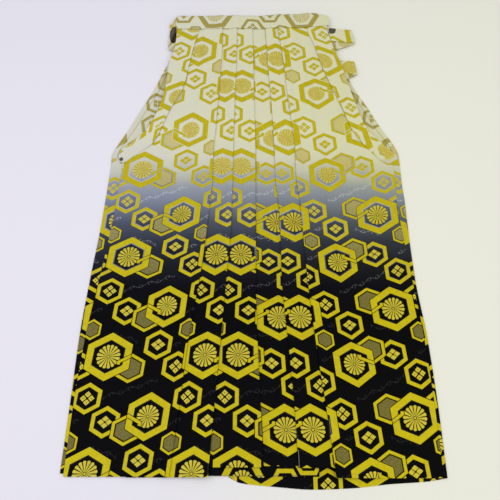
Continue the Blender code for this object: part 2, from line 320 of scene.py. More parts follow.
kikko, entry, send = group(
    "kikko", {"Cloth": None, "Middle across": 0.0, "Middle along": 0.0, "Width": 0.07, "Length": 0.07},
    {"Edge": 0.0, "Across": 0.0, "Along": 0.0})
where = split(entry["Cloth"])
half_width = entry["Width"] * 0.5
across = wrapped(where[0] - entry["Middle across"], REPEAT_ACROSS) / half_width
along = wrapped(where[1] - entry["Middle along"], REPEAT_ALONG) / half_width
side = abs(across)
slanted = side * HALF_HEX + abs(along) / (entry["Length"] / entry["Width"])
send(Edge=largest(side, slanted), Across=across, Along=along)
print("a repeat is", REPEAT_ACROSS * 1000, "by", REPEAT_ALONG * 1000, "mm")

# %% [markdown]
# The chrysanthemum is drawn in polar coordinates. The angle, times sixteen, gives the petals, a
# scalloped edge and a thin line between each two. The diamond flower is four small diamonds with
# a cross of ground between them.

# %% The chrysanthemum
PETALS = 16
KIKU_RADIUS, SCALLOP, DISC_RADIUS, DISC_LINE = 0.53, 0.055, 0.05, 0.025
PETAL_LINE, LINE_SHARE = 0.046, 0.5

kiku, entry, send = group("chrysanthemum", {"Across": 0.0, "Along": 0.0},
                          {"Petals": 0.0, "Lines": 0.0, "Disc": 0.0})
angle = maths("ARCTAN2", entry["Along"], entry["Across"])
radius = far(entry["Across"], entry["Along"])
wave = abs(maths("SINE", angle * (PETALS / 2)))
rim = wave * SCALLOP + (KIKU_RADIUS - SCALLOP)
from_line = wave * radius * (2 / PETALS)
around_disc = between(radius, DISC_RADIUS, DISC_RADIUS + DISC_LINE)
send(Petals=radius < rim, Disc=radius < DISC_RADIUS,
     Lines=largest((from_line < PETAL_LINE / 2) * (wave < LINE_SHARE), around_disc))
print("the flower's nodes:", len(kiku.nodes))

# %% The diamond flower
HALF_WIDTH, HALF_LENGTH, OPEN_LENGTH = 0.53, 0.43, 0.50
CUT, OPEN_CUT, HOLE, LEAF_MIDDLE, LEAF_DOT = 0.065, 0.11, 0.19, 0.56, 0.085

diamond, entry, send = group("diamond_flower", {"Across": 0.0, "Along": 0.0, "Open": 0.0}, {"Leaves": 0.0})
wide = abs(entry["Across"]) / HALF_WIDTH
tall = abs(entry["Along"]) / either(entry["Open"], HALF_LENGTH, OPEN_LENGTH)
inside = wide + tall
beside_cross = abs(wide - tall) > either(entry["Open"], CUT, OPEN_CUT)
from_middle = abs(largest(wide, tall) - LEAF_MIDDLE) + maths("MINIMUM", wide, tall)
solid = largest(from_middle > LEAF_DOT, 1.0 - entry["Open"])
send(Leaves=(inside < 1.0) * beside_cross * (inside > HOLE) * solid)
print("the diamonds' nodes:", len(diamond.nodes))

# %% [markdown]
# ## The brocade
#
# Gold thread floats over the ground where the pattern is, and the ground itself was dyed before
# weaving, so its colour depends on the height up the trousers and not on the pattern. The layers
# are mixed from below: ground, vines, middle hexagons, olive ones, and the large ones last, with
# the olive rings drawn once more where they are linked through the large ones.

# %% Where each motif stands in a repeat, from the chrysanthemum's middle, in metres
MIDDLE_HEXAGONS = (
    # across, along, width, length, and 1 where the flower's leaves stand apart
    (-0.0693, -0.0087, 0.0465, 0.0515, 0.0),
    (-0.0033, -0.0683, 0.0465, 0.0515, 0.0),
    (0.0336, -0.1053, 0.0465, 0.0510, 1.0),
    (0.0615, -0.1570, 0.0465, 0.0515, 1.0),
)
OLIVE_HEXAGONS = (
    (-0.0327, -0.0210, 0.0480, 0.0500, 0.0),
    (0.0444, -0.0418, 0.0310, 0.0370, 0.0),
    (-0.0444, -0.1079, 0.0480, 0.0490, 0.0),
)
LARGE_HEXAGONS = (
    (0.0, 0.0, 0.0690, 0.0775, 0.0),
    (-0.0854, -0.0882, 0.0765, 0.0820, 0.0),
)
LINKED = (0, 2)  # the olive hexagons whose rings pass through a large one
RING_INSIDE = {"large": 0.70, "middle": 0.725, "olive": 0.785}
PALE_LINE, DARK_LINE = 0.05, 0.10  # inside the rings
OLIVE_CLEARS, LARGE_CLEARS = 1.05, 1.03  # the ground beside a ring that hides what lies under it
LINK_FROM, LINK_LINE = 0.27, 0.06  # where a link passes over, and the dark line beside it
print("hexagons in a repeat:", len(MIDDLE_HEXAGONS + OLIVE_HEXAGONS + LARGE_HEXAGONS))

# %% The dyed ground: heights above the hem in metres, and the colour there
GROUND = (
    (0.280, linear(6, 5, 8)),
    (0.335, linear(11, 10, 17)),
    (0.380, linear(28, 29, 36)),
    (0.420, linear(48, 52, 63)),
    (0.460, linear(79, 84, 96)),
    (0.490, linear(112, 118, 130)),
    (0.515, linear(135, 141, 152)),
    (0.535, linear(152, 156, 160)),
    (0.550, linear(178, 179, 168)),
    (0.570, linear(198, 197, 176)),
    (0.600, linear(213, 211, 186)),
    (0.640, linear(217, 215, 185)),
)


def dyed(height):
    """The ground's colour at a height, from a colour ramp over one metre of cloth."""
    colour = put(height.tree, "ShaderNodeValToRGB", (height,))[0]
    stops = colour.socket.node.color_ramp.elements
    stops[0].position, stops[0].color = GROUND[0]
    stops[1].position, stops[1].color = GROUND[-1]
    for position, shade in GROUND[1:-1]:
        stops.new(position).color = shade
    return colour


print("the ground has", len(GROUND), "shades")

# %% A spray of vine: a wavy stem with a hooked curl in each bend
SCROLL_REPEAT, SCROLL_RISE, CURL_RADIUS, VINE_HALF_LINE, VINE_LEAF = 0.030, 0.0036, 0.0030, 0.0005, 0.0011

scroll, entry, send = group("vine_scroll", {"Run": 0.0, "Rise": 0.0}, {"Line": 0.0})
bend = maths("SINE", entry["Run"] * (2 * math.pi / SCROLL_REPEAT))
stem = abs(bend * -SCROLL_RISE + entry["Rise"]) < VINE_HALF_LINE
from_crest = wrapped(entry["Run"] - SCROLL_REPEAT / 4, SCROLL_REPEAT / 2)
curl_rise = entry["Rise"] * maths("SIGN", bend) - (SCROLL_RISE - CURL_RADIUS)
gap = (from_crest > 0.0) * (curl_rise < 0.0)
curl = (abs(far(from_crest, curl_rise) - CURL_RADIUS) < VINE_HALF_LINE) * (1.0 - gap)
leaf_dot = far(from_crest - CURL_RADIUS, curl_rise) < VINE_LEAF
send(Line=largest(largest(stem, curl), leaf_dot))
print("the vine's nodes:", len(scroll.nodes))

# %% Ground and vines
INSIDE_DARKER = 0.02  # the ground inside a hexagon is as dark as this much lower down
IVORY_FROM, IVORY_TO = 0.60, 0.66
VINES = (
    # across, along and half width of each spray, and how it climbs
    (-0.0450, 0.0420, 0.0500, 0.33), (-0.0610, -0.0560, 0.0210, -0.3),
    (0.0430, -0.0095, 0.0120, 0.2), (0.0220, -0.0700, 0.0150, 0.2),
)
VINE_PALES, VINE_MOST, VINE_LEAST = (0.25, 0.52), 0.62, 0.03
VINE_COLOUR, PALEST_OLIVE = linear(205, 205, 210), linear(206, 196, 134)

brocade, entry, send = group(
    "brocade_weave",
    {"Cloth": None, "Height": 0.0, "Gold": BLACK, "Old gold": BLACK, "Olive": BLACK,
     "Pale olive": PALEST_OLIVE, "Pale lines": 0.0},
    {"Colour": BLACK, "Gold thread": 0.0, "Relief": 0.0})
cloth, height, gold = entry["Cloth"], entry["Height"], entry["Gold"]
ground = dyed(height)
dark_inside = mixed(ranged(height, IVORY_FROM, IVORY_TO), dyed(height - INSIDE_DARKER), ground)

# The vines are pale on the grey, and nearly lost on the black
cloth_across, cloth_along, _ = split(cloth)
vine = 0.0
for across, along, half_across, climbs in VINES:
    run = wrapped(cloth_across - across, REPEAT_ACROSS)
    rise = run * -climbs + wrapped(cloth_along - along, REPEAT_ALONG)
    vine = largest(vine, use(scroll, Run=run, Rise=rise)["Line"] * (abs(run) < half_across))
up_to_grey = ranged(height, *VINE_PALES)
vine_pale = up_to_grey * up_to_grey * VINE_MOST + VINE_LEAST
colour = mixed(vine * vine_pale, ground, VINE_COLOUR)
print("sprays of vine in a repeat:", len(VINES))

# %% The hexagons over it
IN_IVORY, ON_BLACK, OLIVE_PALES = (0.46, 0.60), (0.33, 0.49), (0.34, 0.62)  # heights
PETAL_PALER, PETAL_LEAST = 0.32, 0.12
LINE_DULL, LINE_LEAST, LINE_MOST = 0.35, 0.02, 0.6
PALE_LINE_COLOUR, DULL_LINE_COLOUR = linear(196, 198, 206), linear(70, 62, 20)
PALE_PETAL = linear(240, 230, 170)
DEEP_ON_BLACK, DEEP_IN_IVORY = linear(58, 50, 18), linear(184, 163, 60)  # the speckles of the olive filling
SPECKLE, UNEVEN = (420.0, 2.0, 0.6), (130.0, 3.0, 0.7)  # scale, detail and roughness of the noise
NOISE_MIDDLE = (0.35, 0.65)
SPECKLE_MOST, UNEVEN_MOST = 0.45, 0.5


def hexagons(rows):
    """Puts the hexagons of one kind and returns the nearest one's distance and coordinates."""
    best = None
    for across, along, width, length, opened in rows:
        out = use(kikko, Cloth=cloth, Middle_across=across, Middle_along=along, Width=width, Length=length)
        now = [out["Edge"], out["Across"], out["Along"], opened]
        if best:
            nearer = now[0] < best[0]
            now = [either(nearer, old, new) for old, new in zip(best, now)]
        best = now
    return best


pale = mixed(ranged(height, *ON_BLACK, LINE_LEAST, LINE_MOST), dark_inside, PALE_LINE_COLOUR)
in_ivory = ranged(height, *IN_IVORY)
petal_gold = mixed(in_ivory * PETAL_PALER + PETAL_LEAST, gold, PALE_PETAL)

# Middle hexagons with a diamond flower
edge, across, along, opened = hexagons(MIDDLE_HEXAGONS)
inner = RING_INSIDE["middle"]
leaves = use(diamond, Across=across, Along=along, Open=opened)["Leaves"]
middle_ring = between(edge, inner, 1.0)
for mask, shade in ((edge < inner, dark_inside), (between(edge, inner - PALE_LINE, inner), pale),
                    (middle_ring, gold), (leaves, mixed(in_ivory, petal_gold, gold))):
    colour = mixed(mask, colour, shade)
on_gold = largest(middle_ring, leaves)

# Olive hexagons: a thin gold ring, a dark line and a speckled filling
edge = hexagons(OLIVE_HEXAGONS)[0]
inner = RING_INSIDE["olive"]
deep = mixed(in_ivory, DEEP_ON_BLACK, DEEP_IN_IVORY)
olive = mixed(ranged(height, *OLIVE_PALES), entry["Olive"], entry["Pale olive"])
speckle = ranged(noise(cloth, *SPECKLE), *NOISE_MIDDLE, 0.0, SPECKLE_MOST)
dull_line = mixed(LINE_DULL, dark_inside, DULL_LINE_COLOUR)
olive_ring = between(edge, inner, 1.0)
for mask, shade in ((edge < OLIVE_CLEARS, dark_inside), (olive_ring, gold),
                    (between(edge, inner - DARK_LINE, inner), dull_line),
                    (edge < inner - DARK_LINE, mixed(speckle, olive, deep))):
    colour = mixed(mask, colour, shade)
on_gold = largest(on_gold * (edge > OLIVE_CLEARS), olive_ring)

# Large hexagons with a chrysanthemum
edge, across, along, _ = hexagons(LARGE_HEXAGONS)
inner = RING_INSIDE["large"]
flower = use(kiku, Across=across, Along=along)
petals = largest(flower["Petals"] * (1.0 - flower["Lines"]), flower["Disc"])
petal_lines = mixed(entry["Pale lines"], deep, ground)
large_ring, in_large = between(edge, inner, 1.0), edge < 1.0
for mask, shade in ((edge < LARGE_CLEARS, dark_inside), (between(edge, inner - PALE_LINE, inner), pale),
                    (large_ring, gold), (flower["Petals"] * flower["Lines"], petal_lines),
                    (petals, petal_gold)):
    colour = mixed(mask, colour, shade)
on_gold = largest(on_gold * (edge > LARGE_CLEARS), largest(large_ring, petals))

# The olive rings that are linked through a large one pass over it with their upper edge, and end
# in a hook beside the flower
edge, across, along, _ = hexagons([OLIVE_HEXAGONS[k] for k in LINKED])
inner = RING_INSIDE["olive"]
upper = (along > LINK_FROM) * in_large
over = between(edge, inner, 1.0) * upper
colour = mixed(between(edge, inner - LINK_LINE, 1 + LINK_LINE) * upper, colour, dark_inside)
colour = mixed(over, colour, gold)
on_gold = largest(on_gold, over)

# %% The weave: gold lies in fine floats along the cloth, the ground in a twill
WEAVE = 900.0 * 2 * math.pi  # lines of the weave in a metre, as an angle
WEAVE_RELIEF = 0.12

twill, floats = maths("SINE", (cloth_across + cloth_along) * WEAVE), maths("SINE", cloth_across * WEAVE)
relief = either(on_gold, twill, floats) * WEAVE_RELIEF + on_gold
worn = ranged(noise(cloth, *UNEVEN), *NOISE_MIDDLE, 0.0, UNEVEN_MOST) * on_gold
send(Colour=mixed(worn, colour, entry["Old gold"]), Gold_thread=on_gold, Relief=relief)
print("the brocade has", len(brocade.nodes), "nodes")

# %% The cloth finishes
THREAD_STANDS, BUMP = 0.0002, 0.5
# Painted light: the cloth's colour is multiplied by a cool tint at the left and a warm one at the right
PAINTED_LIGHT_HALF_WIDTH = 0.25  # the light on the cloth is cool at the left and warm at the right
COOL_PAINTED_LIGHT, WARM_PAINTED_LIGHT = (1.0, 0.99, 1.13, 1.0), (1.0, 0.99, 0.84, 1.0)
GROUND_ROUGH, GOLD_ROUGH, GOLD_METAL = 0.58, 0.40, 0.22
SURFACE = {"Sheen Weight": 0.003, "Sheen Roughness": 0.4, "Specular IOR Level": 0.04}
# The dark brown of painted shade; the wrong side's finish also takes a small share of it
PAINTED_SHADE_BROWN = linear(46, 36, 20)
FINISHES = {
    # gold, old gold, olive, how pale the lines between petals are, share of the painted shade colour
    "brocade": (linear(200, 185, 22), linear(177, 157, 30), linear(128, 119, 62), 0.0, 0.0),
    # painted shade on the gold: its threads run across here and reflect less light, so the gold is painted
    # dimmer
    "band_brocade": (linear(176, 161, 80), linear(156, 140, 74), linear(190, 180, 120), 1.0, 0.0),
    "brocade_inside": (linear(182, 168, 88), linear(160, 146, 76), linear(150, 142, 92), 0.6, 0.05),
    # painted shade: a darkened copy of the brocade for the shaded spots on the ties and the left leaf
    "painted_shade_brocade": (linear(92, 78, 38), linear(72, 62, 34), linear(70, 60, 36), 1.0, 0.90),
}
cloths = {}
for name, (new_gold, old_gold, olive, pale_lines, share) in FINISHES.items():
    cloths[name], tree, shader = new_material(name, GROUND_ROUGH)
    side, up, _ = split(put(tree, "ShaderNodeTexCoord")[OBJECT_PLACE])
    woven = use(brocade, Cloth=put(tree, "ShaderNodeUVMap", uv_map="cloth")[0], Height=up - HEM_LINE,
                Gold=new_gold, Old_gold=old_gold, Olive=olive, Pale_lines=pale_lines)
    # Painted shade: the dark brown is mixed over the weave by each finish's share
    colour = mixed(share, woven["Colour"], PAINTED_SHADE_BROWN)
    # painted light: the cool-to-warm tint over the colour
    painted_light_tint = mixed(ranged(side, -PAINTED_LIGHT_HALF_WIDTH, PAINTED_LIGHT_HALF_WIDTH), COOL_PAINTED_LIGHT, WARM_PAINTED_LIGHT)
    lit = put(tree, "ShaderNodeVectorMath", (colour, painted_light_tint), operation="MULTIPLY")[0]
    bump = put(tree, "ShaderNodeBump",
               {"Strength": BUMP, "Distance": THREAD_STANDS, "Height": woven["Relief"]})[0]
    rough = ranged(woven["Gold thread"], 0, 1, GROUND_ROUGH, GOLD_ROUGH)
    for label, value in (("Base Color", lit), ("Roughness", rough), ("Normal", bump),
                         ("Metallic", woven["Gold thread"] * GOLD_METAL), *SURFACE.items()):
        give(tree, shader[label], value)
print("finishes:", ", ".join(cloths))

# %% [markdown]
# ## How the layers lie
#
# The tables give the outlines and the pleats at some heights above the hem, and a smooth line is
# drawn through them. Every layer of the front rises by one cloth for each layer under it, and all
# of them follow the same soft swells and creases, so no layer passes through another.

# %% Smooth lines through the tables
FRONT_COLUMNS = ("y", "edge_l", "leaf_l", "p1", "p2", "p3", "p4", "p5", "leaf_r", "edge_r")
FRONT_ROWS = (
    (940, -162, -114.5, -65.5, -34.5, -1.0, 28.5, 55.0, 117, 160),
    (918, -162, -114.5, -65.5, -34.5, -1.0, 28.5, 55.0, 117, 160),
    (870, -164, -124.5, -65.0, -34.5, 0.0, 31.0, 60.5, 131, 170),
    (820, -175, -132.5, -66.5, -35.0, 0.5, 33.0, 66.0, 143, 185),
    (764, -179, -142.0, -69.0, -36.5, 1.5, 36.5, 70.0, 162, 198),
    (711, -190, -165.5, -72.0, -37.5, 2.5, 39.5, 75.0, 180, 211),
    (665, -211, -182.5, -74.5, -38.5, 3.5, 41.5, 80.0, 197, 227),
    (630, -244, -200.0, -77.5, -39.0, 4.0, 43.0, 83.5, 218, 257),
    (604, -262, -210.0, -78.0, -39.5, 4.5, 44.0, 84.0, 228, 272),
    (585, -254, -210.0, -78.5, -39.5, 4.5, 44.0, 84.0, 228, 272),
    (550, -256, -212.0, -78.5, -39.5, 4.5, 44.5, 84.5, 230, 274.5),
    (505, -259, -214.0, -81.5, -40.5, 4.5, 49.0, 89.5, 232, 273),
    (450, -264, -218.0, -85.5, -41.5, 4.5, 51.5, 92.5, 234, 276.5),
    (350, -276.5, -226.0, -96.0, -48.5, 4.0, 52.5, 98.0, 240, 286),
    (240, -291, -236.0, -112.0, -56.5, 6.5, 60.5, 107.5, 250, 296),
    (120, -299, -246.0, -123.5, -65.5, 11.5, 69.0, 121.0, 256, 301),
    (16, -302.5, -252.0, -134.5, -72.5, 15.5, 72.5, 131.5, 260, 302.5),
)
HEM_Y = {"s0": 17, "r1": 20, "s1": 16, "r2": 26, "s2": 31, "r3": 35,
         "s3": 33, "r4": 33, "s4": 30, "r5": 22, "s5": 15}


def through(places, values, at):
    """A smooth line through points that adds no bump between them."""
    order = np.argsort(places)
    x, y = np.asarray(places, float)[order], np.asarray(values, float)[order]
    step = np.diff(x)
    slope = np.diff(y) / step
    tangent = np.concatenate(([slope[0]], np.zeros(len(x) - 2), [slope[-1]]))
    same_way = slope[:-1] * slope[1:] > 0
    both = np.where(same_way, slope[:-1] + slope[1:], 1.0)
    tangent[1:-1] = np.where(same_way, 2 * slope[:-1] * slope[1:] / both, 0.0)
    k = np.clip(np.searchsorted(x, at) - 1, 0, len(step) - 1)
    t = np.clip((at - x[k]) / step[k], 0, 1)
    rise = y[k + 1] - y[k]
    start, stop = tangent[k] * step[k], tangent[k + 1] * step[k]
    return y[k] + t * start + t**2 * (3 * rise - 2 * start - stop) + t**3 * (start + stop - 2 * rise)


def smooth_table(columns, rows, heights):
    """The table's columns as smooth lines, read at those heights."""
    values = np.array(rows, float)
    return {name: through(values[:, 0], values[:, k], heights) for k, name in enumerate(columns)}


FRONT_STEPS = 120
HEIGHTS = np.linspace(FRONT_ROWS[-1][0], FRONT_ROWS[0][0], FRONT_STEPS)
front = smooth_table(FRONT_COLUMNS, FRONT_ROWS, HEIGHTS)
print("the front is read at", len(HEIGHTS), "heights")

# %% How high each layer lies
CLOTH = 0.7  # thickness of the brocade shown
PITCH = 1.3  # from one layer to the next
SLOPE = 12.0
ON_BACK = PITCH
TIES_RISE, TIES_FROM, TIES_FULL = 4.7, 640.0, 700.0
BAND_RISE, BAND_FROM, BAND_FULL = PITCH, 870.0, 918.0
GORE_RISE, GORE_TOP, GORE_FADE = 2 * PITCH, 505.0, 550.0
GORE_LEFT, GORE_RIGHT = (-150.0, -92.0), (215.0, 140.0)
HIDDEN_PAST = 0.1
CAD_WALL = 1.0


def ramp(value, start, end):
    """0 at start and 1 at end, eased at both."""
    t = np.clip((value - start) / (end - start), 0, 1)
    return t * t * (3 - 2 * t)


CREASES = (
    # start x, y, end x, y, width, height: soft ridges, and troughs where the height is below 0
    (-240, 322, -20, 300, 16, 1.3), (10, 306, 250, 330, 18, 1.2), (-230, 290, -60, 262, 22, -0.9),
    (40, 268, 240, 292, 20, -0.8), (-262, 420, -120, 455, 18, 0.9), (110, 470, 262, 430, 20, 0.9),
    (-215, 560, -95, 520, 24, 1.1), (95, 530, 225, 575, 22, 1.0), (-190, 640, -100, 720, 20, 0.9),
    (110, 690, 175, 610, 18, 0.9), (-270, 160, -150, 130, 26, 1.0), (150, 120, 285, 175, 26, 1.1),
    (-130, 60, -260, 85, 20, 0.8), (160, 50, 280, 40, 20, 0.8), (-100, 800, -110, 870, 14, 0.7),
    (85, 820, 110, 890, 14, 0.7), (-60, 215, 60, 190, 24, 0.7), (-70, 610, 75, 590, 26, 0.6),
)
SWELL = 1.1
SWELL_WAVES = ((0.5, 61, 140, 0.0), (0.4, -130, 83, 1.3))  # share, length across and along, start
FLAT_AT_SIDE, FULL_INSIDE = 300, 240
UNDER_BAND = 915  # from here up the band holds the cloth flat
DRAPE_FADE, HEM_SHARE, HEM_FADE = (UNDER_BAND, 850), 0.25, (10, 70)


def drape(x, y):
    """How far the front's layers are lifted by soft swells and by the creases."""
    x, y = np.broadcast_arrays(np.asarray(x, float), np.asarray(y, float))
    lift = SWELL * (1 + sum(share * np.sin(x / across + y / along + start)
                            for share, across, along, start in SWELL_WAVES))
    for x0, y0, x1, y1, width, height in CREASES:
        way = np.array((x1 - x0, y1 - y0), float)
        along = ((x - x0) * way[0] + (y - y0) * way[1]) / way.dot(way)
        near = np.clip(along, 0, 1)
        off = np.hypot(x - x0 - near * way[0], y - y0 - near * way[1])
        taper = np.sqrt(np.clip(4 * near * (1 - near), 0, 1))
        lift = lift + height * taper * np.exp(-(off / width) ** 2)
    lift = np.maximum(lift, 0) * ramp(np.abs(x), FLAT_AT_SIDE, FULL_INSIDE) * ramp(y, *DRAPE_FADE)
    return lift * (HEM_SHARE + (1 - HEM_SHARE) * ramp(y, *HEM_FADE))


def bed(x, y):
    rise = TIES_RISE * ramp(y, TIES_FROM, TIES_FULL) + BAND_RISE * ramp(y, BAND_FROM, BAND_FULL)
    gore = np.minimum(ramp(x, *GORE_LEFT), ramp(x, *GORE_RIGHT))
    return ON_BACK + rise + GORE_RISE * gore * ramp(y, GORE_FADE, GORE_TOP)


def spans(row):
    """The runs of the front's folded cloth, lowest first on each side, as (name, low x, high x)."""
    w1, w3, w5 = row["p2"] - row["p1"], row["p3"] - row["p2"], row["p5"] - row["p4"]
    h1 = row["p1"] - (1 + HIDDEN_PAST) * w1
    h2 = row["p1"] - HIDDEN_PAST * w1
    h3 = row["p2"] - HIDDEN_PAST * w3
    h4 = row["p5"] + HIDDEN_PAST * w5
    h5 = row["p5"] + (1 + HIDDEN_PAST) * w5
    left = [("s3", h3, h4), ("r3", h3, row["p3"]), ("s2", h2, row["p3"]), ("r2", h2, row["p2"]),
            ("s1", h1, row["p2"]), ("r1", h1, row["p1"]), ("s0", row["edge_l"], row["p1"])]
    right = [("s3", h3, h4), ("r4", row["p4"], h4), ("s4", row["p4"], h5),
             ("r5", row["p5"], h5), ("s5", row["p5"], row["edge_r"])]
    return left, right


def layers_below(x, order, name):
    count = np.zeros_like(x)
    for other, low, high in order:
        if other == name:
            break
        count += np.minimum(ramp(x, low - SLOPE, low), ramp(x, high + SLOPE, high))
    return count


def front_height(x, y, order, name):
    return bed(x, y) + CAD_WALL / 2 + PITCH * layers_below(x, order, name) + drape(x, y)


print("creases:", len(CREASES))

# %% [markdown]
# ## Cloth shells
#
# A piece of cloth is a grid of points on its middle surface. The shell moves the grid half the
# thickness to both sides, closes the rim, and stores for every point its place on the flat cloth,
# so the weave runs along the grain of each strip. The right side and the wrong side of the cloth
# get different finishes.

# %% Make a shell from a grid
SHARP_FROM, TINY = math.radians(60), 1e-12
flat_sizes = {}


def shell(name, points, cloth, finish="brocade", inside="brocade_inside", wall=CLOTH):
    """points is rows x columns x 3 in mm, and cloth rows x columns x 2 in mm on the flat cloth."""
    points, cloth = np.asarray(points, float), np.asarray(cloth, float)
    across, along = np.gradient(points, axis=1), np.gradient(points, axis=0)
    out = np.cross(across, along)
    out /= np.linalg.norm(out, axis=2, keepdims=True) + TINY
    rows, columns = points.shape[:2]
    corners = np.concatenate([(points + out * wall / 2).reshape(-1, 3),
                              (points - out * wall / 2).reshape(-1, 3)]) * MM
    corners[:, 1] += HEM_LINE
    index = np.arange(rows * columns).reshape(rows, columns)
    a, b, c, d = index[:-1, :-1], index[:-1, 1:], index[1:, 1:], index[1:, :-1]
    upper = np.stack([a, b, c, d], axis=2).reshape(-1, 4)
    lower = upper[:, ::-1] + rows * columns
    around = np.concatenate([index[0, :-1], index[:-1, -1], index[-1, :0:-1], index[:0:-1, 0]])
    after = np.roll(around, -1)
    rim = np.stack([after, around, around + rows * columns, after + rows * columns], axis=1)
    faces = np.concatenate([upper, lower, rim])
    mesh = bpy.data.meshes.new(name)
    mesh.from_pydata(corners.tolist(), [], faces.tolist())
    places = np.concatenate([cloth.reshape(-1, 2)] * 2) * MM
    layer = mesh.uv_layers.new(name="cloth")
    layer.data.foreach_set("uv", places[faces.reshape(-1)].reshape(-1))
    mesh.materials.append(cloths[finish])
    mesh.materials.append(cloths[inside])
    slots = np.zeros(len(faces), int)
    slots[len(upper):len(upper) + len(lower)] = 1
    mesh.polygons.foreach_set("material_index", slots)
    mesh.shade_smooth()
    mesh.set_sharp_from_angle(angle=SHARP_FROM)
    mesh.validate()
    piece = bpy.data.objects.new(name, mesh)
    bpy.context.collection.objects.link(piece)
    flat_sizes[name] = flat_size(points)
    return piece


def paint_shade(piece, spot):
    """Paints shade on an oval spot by giving its faces the painted-shade finish: its middle x and y, half its
    width and half its height.
    """
    middle_x, middle_y, half_x, half_y = spot
    piece.data.materials.append(cloths["painted_shade_brocade"])
    for face in piece.data.polygons:
        x, y = face.center[0] / MM, (face.center[1] - HEM_LINE) / MM
        if ((x - middle_x) / half_x) ** 2 + ((y - middle_y) / half_y) ** 2 < 1:
            face.material_index = 2


def flat_size(points):
    """Widest row, longest column and area of the cloth as cut, in metres."""
    steps_across = np.linalg.norm(np.diff(points, axis=1), axis=2)
    steps_along = np.linalg.norm(np.diff(points, axis=0), axis=2)
    cells = (steps_across[1:] + steps_across[:-1]) * (steps_along[:, 1:] + steps_along[:, :-1]) / 4
    width, length = steps_across.sum(axis=1).max() * MM, steps_along.sum(axis=0).max() * MM
    return width, length, min(cells.sum() * MM * MM, width * length)


def dress(piece, node):
    """The calls that every piece of cloth needs."""
    width, length, area = flat_sizes[piece.name]
    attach(piece, "root")
    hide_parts(node)
    print(f"{piece.name}: cut {width * 1000:.0f} x {length * 1000:.0f} mm, "
          f"{area:.3f} m2, {len(piece.data.polygons)} faces")


# %% [markdown]
# ## The grain of each strip
#
# Each strip between two pleats shows its own part of the cloth, a little askew. A line of motif
# middles up the strip, read from the garment, ties the cloth's coordinates to the strip. The right
# half is the same cloth turned end for end.

# %% Where one column of motifs runs up each strip
CHRYSANTHEMUM, LARGER = (0.0, 0.0), (-85.4, -88.2)
UPRIGHT, TURNED, FROM_BEHIND = (1, 1), (-1, -1), (1, -1)
GRAIN = {
    # strip: a place in the chart, which way the chart lies, and where that place is as (x, y)
    "s0": (CHRYSANTHEMUM, UPRIGHT, ((-173.5, 109.4), (-152.2, 298.6), (-133.3, 475.8), (-123.6, 661.3),
                                    (-110.4, 856.7))),
    "s1": (LARGER, UPRIGHT, ((-98.3, 21.5), (-82.2, 210.9), (-66.5, 394.2), (-60.2, 579.7),
                             (-56.1, 765.8))),
    "s2": (LARGER, UPRIGHT, ((-26.3, 21.0), (-26.0, 210.9), (-21.9, 394.2), (-22.6, 579.7),
                             (-21.6, 765.8))),
    "s3": (LARGER, TURNED, ((53.1, 88.1), (44.8, 277.7), (44.2, 459.3), (39.8, 643.2), (31.9, 834.7))),
    "s4": (LARGER, TURNED, ((96.7, 88.1), (82.2, 277.7), (76.5, 459.3), (67.8, 643.2), (51.2, 834.7))),
    "s5": (CHRYSANTHEMUM, TURNED, ((191.0, 6.5), (171.8, 195.2), (154.0, 379.6), (143.9, 560.6),
                                   (129.9, 747.1))),
}
RIGHT_TILT = 0.13  # past the chrysanthemums the right front's rows climb towards its side
print("strips:", ", ".join(GRAIN))


def on_cloth(strip, x, y):
    """The place on the flat cloth, in mm from a chrysanthemum, of a point of that strip."""
    (u0, v0), way, middles = GRAIN[strip]
    xs, ys = np.array(middles, float).T
    repeat = REPEAT_ALONG / MM
    count = np.interp(y, ys, np.arange(len(ys))) * repeat
    count = count + np.minimum(y - ys[0], 0) + np.maximum(y - ys[-1], 0)
    low_slope = (xs[1] - xs[0]) / (ys[1] - ys[0])
    high_slope = (xs[-1] - xs[-2]) / (ys[-1] - ys[-2])
    line = through(ys, xs, y) + low_slope * np.minimum(y - ys[0], 0) + high_slope * np.maximum(y - ys[-1], 0)
    u, v = x - line, count
    if strip == "s5":
        v = v - RIGHT_TILT * np.maximum(u, 0)
    return np.stack([way[0] * u + u0, way[1] * v + v0], axis=-1)


# %% [markdown]
# ## The pleated fronts
#
# Each half of the front is one cloth, folded back and forth: a strip that shows, a return under
# its edge, the next strip, and so on. It could be folded by simulation, but pressed pleats have
# sharp, known places, so the section is drawn fold by fold. A pressed fold stands a little proud of
# the strip beside it, unevenly along its length.

# %% The folded section
FOLD_POINTS = 5
RUN_POINTS = {"s0": 56, "s1": 26, "s2": 26, "s3": 34, "s4": 26, "s5": 56}
RETURN_POINTS = 12
EDGE_LIFT, EDGE_SOFT, EDGE_FADE = 0.8, 7.0, (UNDER_BAND, 870)
EDGE_MEAN, EDGE_WAVES, EDGE_START = 0.55, (47, 19), 0.7
HEM_REACH = 120.0
FOLD_OF = {"s0": "p1", "r1": "p1", "s1": "p2", "r2": "p2", "s2": "p3", "r3": "p3",
           "s4": "p4", "r4": "p4", "s5": "p5", "r5": "p5"}


def hem_shift(y, run):
    """Moves the rows near the hem to that run's own hem."""
    share = np.clip((HEM_REACH - y) / (HEM_REACH - HEIGHTS[0]), 0, 1)
    return y + share * (HEM_Y[run] - HEIGHTS[0])


def fold_lift(run, x, y, row):
    """Where a fold edge stands proud, unevenly up the trousers."""
    if run not in FOLD_OF:
        return np.zeros_like(x)
    at = row[FOLD_OF[run]]
    wave = np.sin(y / EDGE_WAVES[0] + at) * np.sin(y / EDGE_WAVES[1] + EDGE_START * at)
    lift = EDGE_LIFT * (EDGE_MEAN + (1 - EDGE_MEAN) * wave)
    return lift * np.exp(-((x - at) / EDGE_SOFT) ** 2) * ramp(y, *EDGE_FADE)


